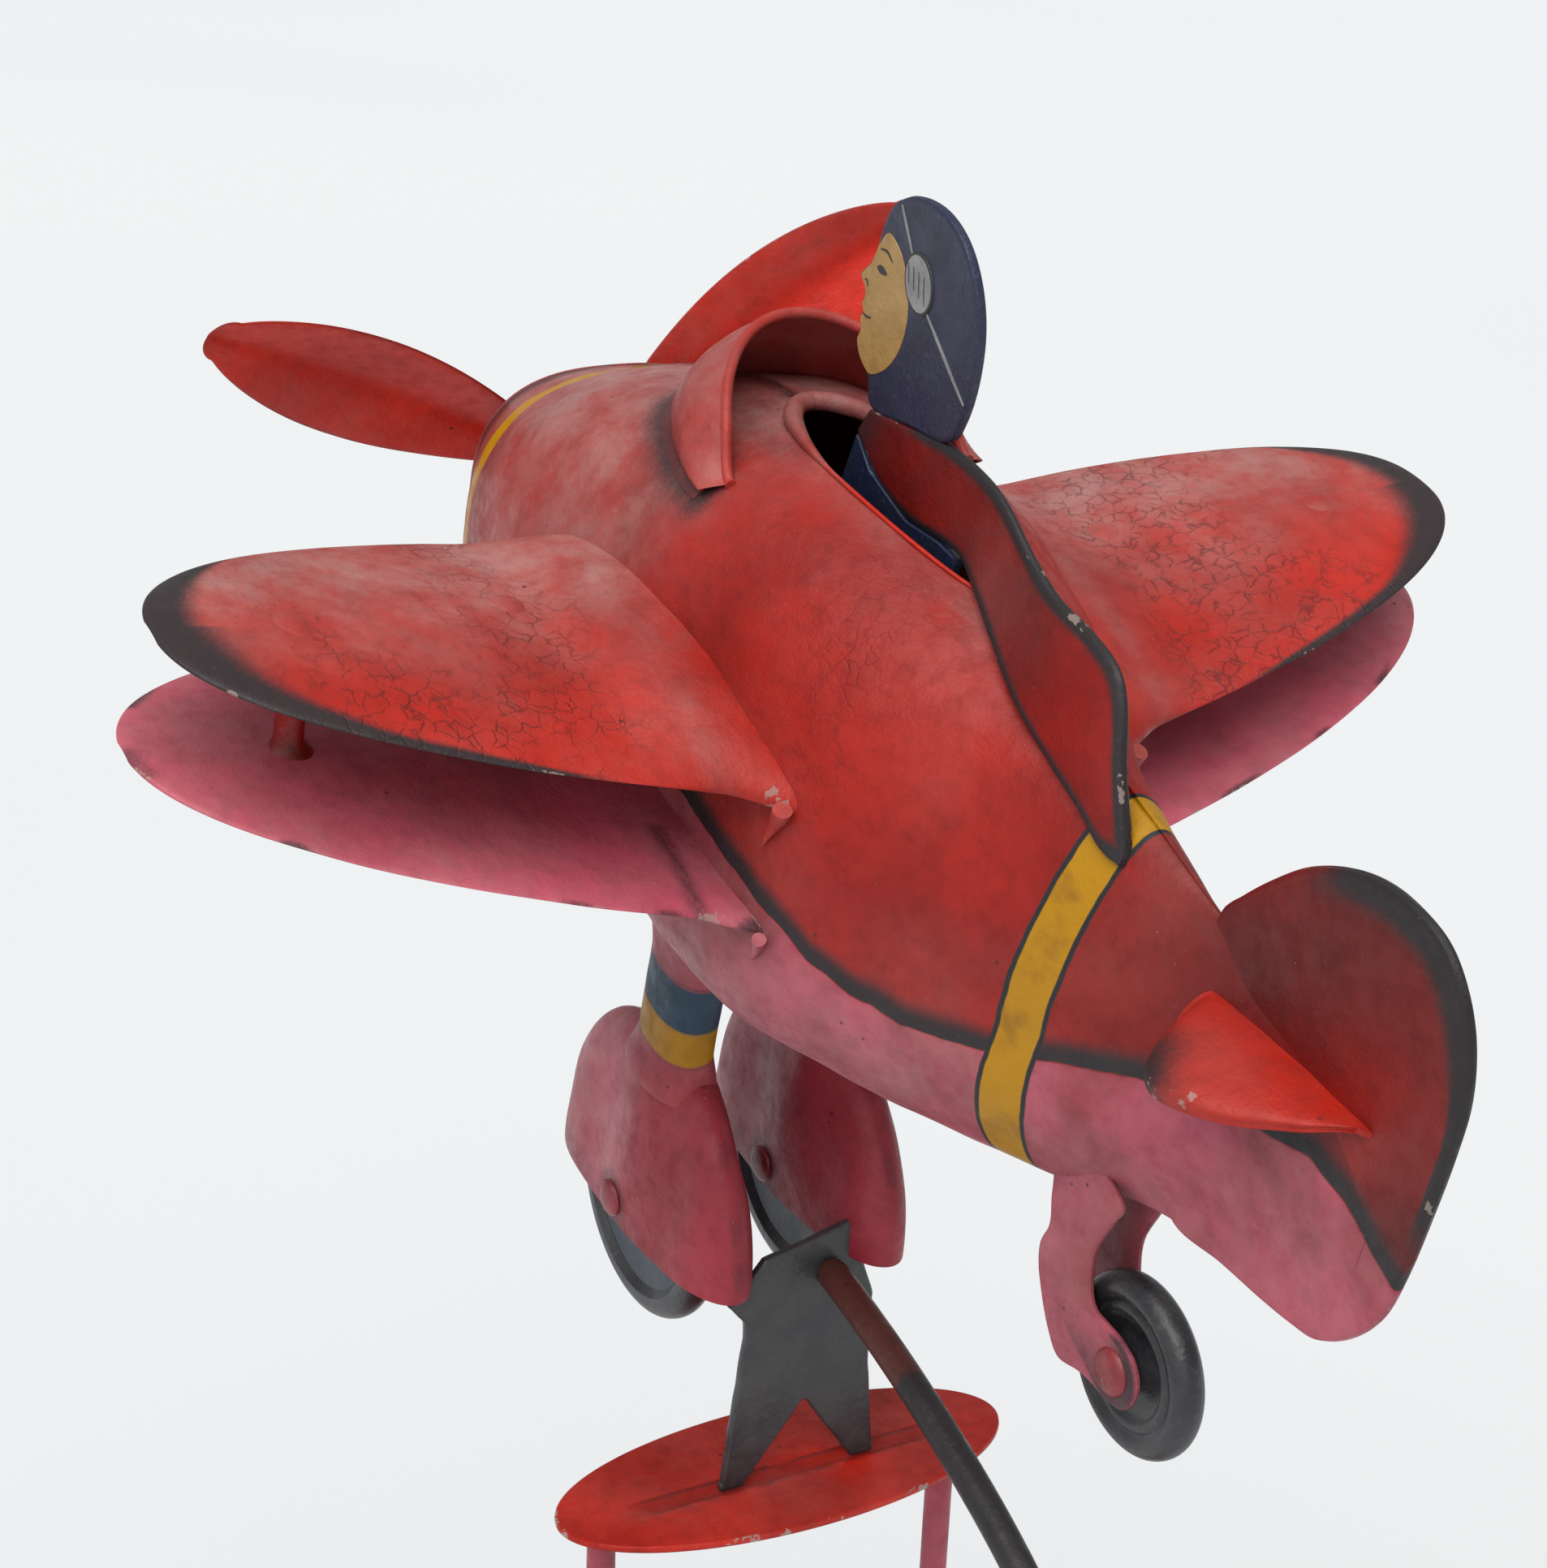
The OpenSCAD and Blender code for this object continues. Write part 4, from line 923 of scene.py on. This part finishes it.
def build_spat(name, outward, sign):
    """Half of a spat, dished outwards from the seam; outward is 1 for the half away from the middle."""
    outer, inner = spat_layer(0), spat_layer(1.0)
    outer[..., 1] += 0.3 * wobble(outer + [0, 40 * outward, 0], 12, 3) * smooth(outer[..., 1], 0.5, 4) - 0.15
    for g in (outer, inner):
        g[..., 1] = sign * (GEAR_Y + outward * np.maximum(g[..., 1], 0))
    points, faces = sheet(outer, inner)
    x, y, z = points.T
    flat = np.abs(np.abs(y) - GEAR_Y)
    # The spat's rear is painted darker as shade, and its front gets more pale film, partly dust and partly painted
    # highlight.
    rear = smooth(44 - x + 0.1 * (z - 39), -3, 9)
    char = 0.45 * bump_at(flat, 0.5, 1.2) * blotch(points, 8, 2, -0.2, 0.5) + 0.35 * bump_at(z, 40, 5)
    make(name + "_shell", points, faces, gear_paint, name, "pink_paint", angle=55,
         tone=[(PINK, 1), (RED, 0.45 * rear), (CRIMSON, 0.6 * rear),
               (CRIMSON, 0.4 * blotch(points, 16, 5, 0, 0.5))],
         char=np.maximum(char, 0.5 * bump_at(np.hypot(x - AXLE[0], z - AXLE[1]), 5, 2)),
         haze=0.85 * (1 - rear) + 0.2 * wobble(points, 14, 8),
         edge=0.8 * (flat < 0.6) * blotch(points, 6, 3, 0.1, 0.5))


def build_gear_leg(side, sign):
    """Gear leg: an oval tube that swells into the fuselage and the spat, with painted bands."""
    z = np.linspace(77, 121, 60)
    swell = 1 + 0.32 * smooth(z, 105, 120) + 0.22 * (1 - smooth(z, 77, 86))
    c, s = (np.sign(v) * np.abs(v) ** 0.85 for v in (np.cos(around(56)), np.sin(around(56))))
    points, faces = tube([xyz(42 + 9.8 * w * c, sign * (18.7 + 6.2 * w * s), h) for h, w in zip(z, swell)])
    points[:, 1] += 0.25 * wobble(points, 8, 4)
    h = points[:, 2]
    blue = smooth(h, 93.9, 94.1) * (1 - smooth(h, 104.3, 104.5))
    gold = smooth(h, 85.6, 85.8) * (1 - smooth(h, 93.9, 94.1))
    # The lower rear of the leg is painted darker as shade, to match the spat.
    rear = smooth(44 - points[:, 0], -3, 9) * (1 - smooth(h, 78, 90))
    make("gear_leg_%s_tube" % side, points, faces, gear_paint, "gear_leg_" + side, "pink_paint",
         tone=[(PINK, 1), (CRIMSON, 0.5), (RED, 0.4 * rear), (BLUE, blue), (YELLOW, gold)],
         char=0.5 * bump_at(h, 85.4, 0.5) + 0.3 * bump_at(h, 94, 0.4) + 0.6 * bump_at(h, 104.8, 0.5),
         haze=0.3 * (1 - gold) * (1 - blue))


def turned(name, profile, steps, at, y, material, nodes="", slot="black_paint", body="biplane", closed=True):
    """A lathe-turned piece on an axis along y through (x, z); profile is [(radius, y)]."""
    points, faces = lathe(profile, steps, closed)
    points = points[:, [0, 2, 1]] + [at[0], y, at[1]]
    make(name, points, faces, material, nodes, slot, body, angle=40)


def arc(cx, cy, r, a0, a1, n):
    return [(cx + r * cos(a), cy + r * sin(a)) for a in np.radians(np.linspace(a0, a1, n))]


def mirrored(profile):
    """A profile and its mirror image in y, in running order."""
    return profile + [(a, -b) for a, b in reversed(profile)]


def pin_profile(length, r, head_r, head_t):
    cap = [(0.02, 1), (head_r * 0.5, 0.96), (head_r * 0.82, 0.72), (head_r * 0.97, 0.35), (head_r, 0), (r, 0)]
    return mirrored([(a, length / 2 + head_t * b) for a, b in cap])


TREAD = [(21.4, 2.9), (22.2, 3.7)] + arc(23.2, 0, 3.8, 80, -80, 22)
TREAD += [(22.2, -3.7), (21.4, -2.9), (20.6, -2.3), (20.6, 2.3)]
DISH = mirrored([(2.06, 3.3), (5.6, 3.3), (6.6, 3.0), (7.4, 2.2), (9, 1.7), (14, 1.5), (18, 1.6), (19.6, 2.0),
                 (20.9, 2.3)])
for side, sign in SIDES:
    build_spat("spat_outer_" + side, 1, sign)
    build_spat("spat_inner_" + side, -1, sign)
    build_gear_leg(side, sign)
    y = sign * GEAR_Y
    wheel = side + "_wheel"
    turned("main_wheel_rim_" + side, TREAD, 120, AXLE, y, tyre_paint, "main_wheel_" + side, body=wheel)
    turned("main_wheel_dish_" + side, DISH, 96, AXLE, y, dish_paint, body=wheel)
    turned("wheel_axle_%s_pin" % side, pin_profile(18.4, 2.0, 3.9, 1.2), 40, AXLE, y, pin_paint,
           "wheel_axle_" + side, "pink_paint", closed=False)

# ---------------------------------------------------------------- tail wheel
TAIL_AXLE = (-87, 113.7)
FORK = [(-60, 140), (-61, 131), (-62.5, 125), (-61.5, 119.5), (-63.5, 114), (-69, 107), (-73.5, 104),
        (-79, 106), (-83, 107.0), (-87, 107.2), (-91, 108.6), (-93.2, 111.6), (-93.4, 115.6), (-91, 119), (-87, 120.2),
        (-82, 120), (-78.5, 120), (-76.3, 123), (-75, 129), (-77, 137), (-78, 142), (-69, 144)]


def build_fork(side, sign):
    y = sign * 4.7
    outline = spline(FORK, 150, True)
    profile = ((0.9, 0.8), (0.35, 0.62), (0.05, 0.25), (0.05, -0.25), (0.35, -0.62), (0.9, -0.8))
    loops = edge_loops(outline, np.gradient(outline, axis=0), profile)
    points, faces = tube([xyz(q[:, 0], y + h, q[:, 1]) for q, h in loops])
    points[:, 1] += 0.12 * wobble(points, 6, 3)
    rim = np.abs(points[:, 1] - y) < 0.7
    crack = 0.8 * bump_at(np.hypot(points[:, 0] - TAIL_AXLE[0], points[:, 2] - TAIL_AXLE[1]), 5.8, 0.8)
    make("fork_arm_%s_plate" % side, points, faces, gear_paint, "fork_arm_" + side, "pink_paint",
         tone=[(PINK, 1), (CRIMSON, 0.8 * blotch(points, 12, 2, -0.3, 0.4))],
         char=crack + 0.35 * rim * blotch(points, 5, 1, 0, 0.4), haze=0.4,
         edge=0.8 * rim * blotch(points, 5, 8, 0.1, 0.4))


for side, sign in SIDES:
    build_fork(side, sign)
turned("tail_axle_pin", pin_profile(11, 1.5, 4.2, 1.25), 40, TAIL_AXLE, 0, pin_paint, "tail_axle",
       "pink_paint", closed=False)
TAIL_HALF = [(1.56, 2.7), (3.8, 2.7), (4.6, 2.3), (5.4, 1.75), (7.6, 1.6), (8.6, 1.75), (9.3, 2.35),
             (9.9, 2.7), (10.6, 2.6), (11.2, 2.2), (12.0, 2.5), (12.7, 3.05)] + arc(12.8, 0, 3.2, 78, 0, 12)
turned("tail_wheel_disc", TAIL_HALF + mirrored(TAIL_HALF)[len(TAIL_HALF) + 1:], 96, TAIL_AXLE, 0, tyre_paint,
       "tail_wheel", body="rear_wheel")

# ---------------------------------------------------------------- propeller
HUB = (150, 153)


def on_shaft(points):
    """Points in the propeller's frame, its axis along Z, to the biplane's frame."""
    x, y, z = np.moveaxis(np.asarray(points, float), -1, 0)
    return xyz(HUB[0] + z, y, HUB[1] - x)


def build_blade(k, node):
    columns = 29
    outer, inner = [], []
    turn = radians(90 + 24 + 120 * k)
    v = np.sin(np.linspace(-1, 1, columns) * pi / 2)
    run = 1 - (1 - np.linspace(0, 1, 80)) ** 1.6
    thin = 0.5 * np.sqrt(np.clip(1 - np.abs(v) ** 10, 0, 1))
    for t in run:
        r = 7 + 85 * t
        half = 14 * sin(pi * min(max(t, 0.001), 0.95) ** 1.23) ** 0.6 + (1 - t) + 0.4
        half *= sqrt(1 - max(0.0, (t - 0.95) / 0.05) ** 2 * 0.99)
        twist = radians(-28 * (1 - 0.25 * t))
        fold = 0.3 * half * (1 - np.sqrt(v * v + 0.002)) + 0.03 * half
        for grid, h in ((outer, -1), (inner, 1)):
            f = fold - 0.5 + h * thin * sqrt(max(1 - t ** 30, 0.0))
            y = v * half * cos(twist) - f * sin(twist)
            z = v * half * sin(twist) + f * cos(twist)
            grid.append(xyz(r * cos(turn) - y * sin(turn), r * sin(turn) + y * cos(turn), z))
    points, faces = sheet(on_shaft(outer), on_shaft(inner))
    points[:, 0] += 0.2 * wobble(points, 14, k + 1.0)
    t = np.tile(np.repeat(run, columns), 2)
    v = np.tile(v, 2 * len(run))
    char = 0.9 * (1 - smooth(t, 0.0, 0.10)) + 0.25 * smooth(t, 0.95, 1)
    char += 0.45 * (1 - smooth(1 - np.abs(v), 0.0, 0.10))
    # The extra pale film on one half of each blade is a painted highlight on that half.
    make(node + "_sheet", points, faces, blade_paint, node, body="propeller", angle=60,
         tone=[(SCARLET, 1), (RED, 0.15)], char=char, haze=0.05 + 0.35 * smooth(-v, 0.2, 0.5),
         edge=0.6 * (np.abs(v) > 0.97))


for k, node in enumerate(("blade_one", "blade_two", "blade_three")):
    build_blade(k, node)
HUB_PROFILE = [(2.56, -3.6), (6.6, -3.6), (7.5, -3.3), (8, -2.6), (8, 2.7), (7.4, 3.5), (6.2, 4), (2.56, 4)]
points, faces = lathe(HUB_PROFILE, 64)
make("propeller_hub_boss", on_shaft(points), faces, blade_paint, "propeller_hub", body="propeller",
     tone=[(RED, 1), (DEEP, 0.6)], char=0.5, haze=0.3)
SHAFT_PROFILE = [(0.02, -11), (2.5, -11), (2.5, 4.62), (3.6, 4.65), (4.2, 5.0), (4.2, 5.9), (3.6, 6.5),
                 (2.2, 6.6), (0.02, 6.6)]
points, faces = lathe(SHAFT_PROFILE, 48, False)
make("propeller_shaft_pin", on_shaft(points), faces, steel, "propeller_shaft", "bare_steel")

# ---------------------------------------------------------------- bracket, rod and ball
ROD_LEAN = radians(1.1)
FEET_Y = {"port": 13.5, "starboard": -16.9}


def in_rod_plane(points):
    """Points [x, y, z] in the rod's own upright plane, in mm from the rocking axis, to the level frame."""
    x, y, z = np.moveaxis(np.asarray(points, float), -1, 0)
    y = y - 6
    return xyz(x, y * cos(ROD_LEAN) - z * sin(ROD_LEAN), y * sin(ROD_LEAN) + z * cos(ROD_LEAN))


def rod_track():
    """The rod's middle line, the ball's centre and the rod's last direction, in the rod's own plane."""
    x, z, heading = -0.8, 45.6, 190.0
    track = []
    for r, bend in ((300, 12), (150, 110), (260, 24)):
        a = np.radians(heading + bend * np.linspace(0, 1, 61))
        bow = xyz(x + r * (np.sin(a) - np.sin(a[0])), 0, z - r * (np.cos(a) - np.cos(a[0])))
        track.append(bow[:-1])
        x, z, heading = bow[-1, 0], bow[-1, 2], heading + bend
    way = np.array([cos(radians(heading)), 0, sin(radians(heading))])
    track.append(bow[-1] + np.outer(np.linspace(0, 38, 12), way))
    return np.vstack(track), bow[-1] + 63 * way, way


track, ball_at, ball_way = rod_track()


def build_rod():
    radius = 3.25 + 0.1 * wobble(track, 30, 2)
    radius[:4] = (2.7, 3.1, 3.25, 3.25)
    points, faces = sweep(track, radius, 28)
    points = in_rod_plane(points)
    run = np.repeat(np.arange(len(track)) / len(track), 28)
    rust = 1 - smooth(run + 0.05 * wobble(points, 9, 3), 0.15, 0.17)
    make("balance_rod_bar", points, faces, rod_paint, "balance_rod", "dark_paint", place=level,
         tone=[(BLACK, 1), (BROWN, 0.75 * rust)], haze=0.3)


def cast(name, points, faces, node="", lumps=0.0):
    """A piece of the counterweight, from points round the ball's centre with the rod's direction as Z."""
    side = np.array([0, 1.0, 0])
    points = points @ np.array([side, np.cross(ball_way, side), ball_way])
    points += lumps * wobble(points, 3, 5)[:, None]
    make(name, in_rod_plane(points + ball_at), faces, iron_paint, node, "weight_iron", place=level)


def build_ball():
    profile = [(max(28 * sin(a), 0.02), -28 * cos(a)) for a in np.linspace(0, pi, 70)]
    points, faces = lathe(profile, 120, False)
    points = points - unit(points) * (0.15 + 0.15 * wobble(points, 9, 2))[:, None]
    cast("counterweight_ball_cast", points, faces, "counterweight_ball")
    collar = [(3.3, -30.6), (3.9, -30.2), (5.0, -28.8), (6.0, -27.6), (6.2, -26.8), (3.3, -26.8)]
    cast("counterweight_weld", *lathe(collar, 48), lumps=0.25)


build_rod()
build_ball()

BRACKET = [(16.3, -0.6), (12, 33.5), (12, 37.5), (16, 42), (8, 51), (-13, 56), (-15.5, 44.5), (-18, 37.5),
           (-17.5, 24), (-19.7, -0.6), (-14, -0.6), (-2.5, 16), (10.7, -0.6)]


def build_bracket():
    p = dense(BRACKET, 170)
    jitter = 0.25 * wobble(xyz(p[:, 0], p[:, 1], 0), 5, 3)
    profile = ((0.5, 1.0), (0.12, 0.72), (0.0, 0.3), (0.0, -0.3), (0.12, -0.72), (0.5, -1.0))
    loops = edge_loops(p, np.roll(p, -1, 0) - np.roll(p, 1, 0), profile, 0.25 + jitter)
    points, faces = tube([xyz(h, q[:, 0], q[:, 1]) for q, h in loops])
    make("pivot_bracket_plate", points, faces, dark_paint, "pivot_bracket", "dark_paint", place=level)
    foot = [(0.02, -2.6), (0.8, -2.6), (1.0, -2.4), (1.0, 2.4), (0.8, 2.6), (0.02, 2.6)]
    points, faces = lathe(foot, 24, False)
    for side, y in FEET_Y.items():
        at = points[:, [0, 2, 1]] + [0, y, 0]
        make("bracket_foot_" + side, at, faces, dark_paint, "", "dark_paint", place=level)


build_bracket()

# ---------------------------------------------------------------- stand
DROP = 0.2
PLATFORM_X = 2.0


def build_platform():
    outline = np.stack([21 * np.cos(around(200)), 51 * np.sin(around(200))], -1)
    rings = (1, 0.99, 0.975, 0.95, 0.91, 0.86, 0.8, 0.72, 0.62, 0.52, 0.42, 0.33, 0.24, 0.16, 0.08)
    points, faces, share = disc(outline, (0, 0), 1.6, 0.5, rings, lambda a, b, h: (a + PLATFORM_X, b, h))
    points[:, 2] += -DROP - 0.8
    x, y, z = points.T
    top = z > -DROP - 0.9
    groove = (np.abs(y) < 34) & (np.abs(x) < 4.6)
    sink = 1.15 * np.clip(1 - (x / 2.6) ** 2, 0, 1) * (1 - smooth(np.abs(y), 31, 34.5)) * groove
    points[:, 2] -= sink
    near_foot = sum(bump_at(np.hypot(x, y - foot), 0, 4) for foot in FEET_Y.values())
    make("platform_plate", points, faces, platform_paint, "platform", body="stand", place=level, angle=50,
         tone=[(ORANGE, 1), (SCARLET, 0.8 * blotch(points, 22, 3, -0.4, 0.4)),
               (DEEP, 0.4 * (sink > 0.1))],
         char=0.5 * bump_at(np.abs(x), 2.4, 0.5) * groove + 0.25 * (~top),
         haze=0.15 + 0.3 * wobble(points, 20, 9),
         edge=0.95 * (share > 0.99) * blotch(points, 8, 6, -0.15, 0.3)
         + 0.9 * near_foot * blotch(points, 2, 5, -0.1, 0.3))


def build_base():
    outline = np.stack([80 * np.cos(around(260)), 95 * np.sin(around(260))], -1)
    points, faces, share = disc(outline, (0, 0), 3.0, 1.0, across=lambda a, b, h: (a, b, h + 1.5))
    make("base_plate_oval", points, faces, platform_paint, "base_plate", body="stand", place=ground,
         tone=[(RED, 1), (ORANGE, 0.5 * blotch(points, 40, 3, -0.4, 0.4))],
         char=0.9 * (1 - smooth((1 - share) * 90, 0.5, 9)) * (share > 0.5), haze=0.7,
         edge=0.9 * (share > 0.99) * blotch(points, 12, 6, -0.1, 0.4))


def build_stand_leg(side, y):
    top = PIVOT / MM - DROP - 1.6
    ends = [3.02, 3.8, 5, 7], [top - 4, top - 2, top - 0.8, top - 0.05]
    z = np.concatenate([ends[0], np.linspace(10, top - 6, 60), ends[1]])
    radius = 2.9 + 1.9 * np.exp(-(z - 3) / 1.6) + 1.2 * np.exp(-(top - z) / 1.4)
    path = xyz(PLATFORM_X, y, z)
    points, faces = sweep(path, radius + 0.06 * wobble(path, 12, 2), 28, (1, 0, 0))
    make("leg_%s_bar" % side, points, faces, leg_paint, "leg_" + side, "pink_paint", "stand", ground,
         tone=[(PINK, 1), (RED, 0.45 * blotch(points, 25, 4, -0.3, 0.3))], haze=0.4, edge=0.35)


build_platform()
build_base()
build_stand_leg("port", 41.5)
build_stand_leg("starboard", -38.5)

# ---------------------------------------------------------------- studio
floor_paint = Tree("floor")
patches = floor_paint.band(floor_paint.noise(0.4, 2), 0.3, 0.7)
pale = floor_paint.mix(patches, (0.615, 0.628, 0.64), (0.63, 0.64, 0.648))
floor_paint.finish(pale, 0.9, floor_paint.bump(floor_paint.noise(30, 2), 0.0002, 0.1), specular=0.0)
bpy.ops.mesh.primitive_grid_add(x_subdivisions=8, y_subdivisions=8, size=30, location=(0, 0, 0))
floor = bpy.context.object
floor.name = "floor"
floor.data.materials.append(floor_paint.mat)

scene = bpy.context.scene
world = scene.world or bpy.data.worlds.new("studio")
scene.world = world
world.use_nodes = True
sky = world.node_tree.nodes["Background"]
sky.inputs["Color"].default_value = (0.95, 0.98, 1.0, 1)
sky.inputs["Strength"].default_value = 0.42


def soft_sun(name, where, spread, power, colour):
    light = bpy.data.lights.new(name, "SUN")
    light.angle = radians(spread)
    light.energy = power
    light.color = colour
    obj = bpy.data.objects.new(name, light)
    scene.collection.objects.link(obj)
    obj.rotation_euler = Vector(where).to_track_quat("Z", "Y").to_euler()


soft_sun("overhead", (-0.35, 0.30, 1.0), 65, 3.0, (1, 0.99, 0.97))
soft_sun("port_fill", (-0.55, 1.0, 0.40), 85, 1.1, (0.97, 0.98, 1))

camera_data = bpy.data.cameras.new("camera")
camera = bpy.data.objects.new("camera", camera_data)
scene.collection.objects.link(camera)
scene.camera = camera
camera_at = Vector((-0.4480, 0.2609, PIVOT + 0.3483))
aim = Vector((0.0176, 0, PIVOT + 0.1445))
look = (aim - camera_at).to_track_quat("-Z", "Y").to_matrix().to_4x4()
camera.matrix_world = Matrix.Translation(camera_at) @ look @ Matrix.Rotation(radians(2.25), 4, "Z")
camera_data.lens = 67.86
camera_data.sensor_width = 36
camera_data.clip_start = 0.01
camera_data.clip_end = 60
scene.view_settings.view_transform = "Standard"
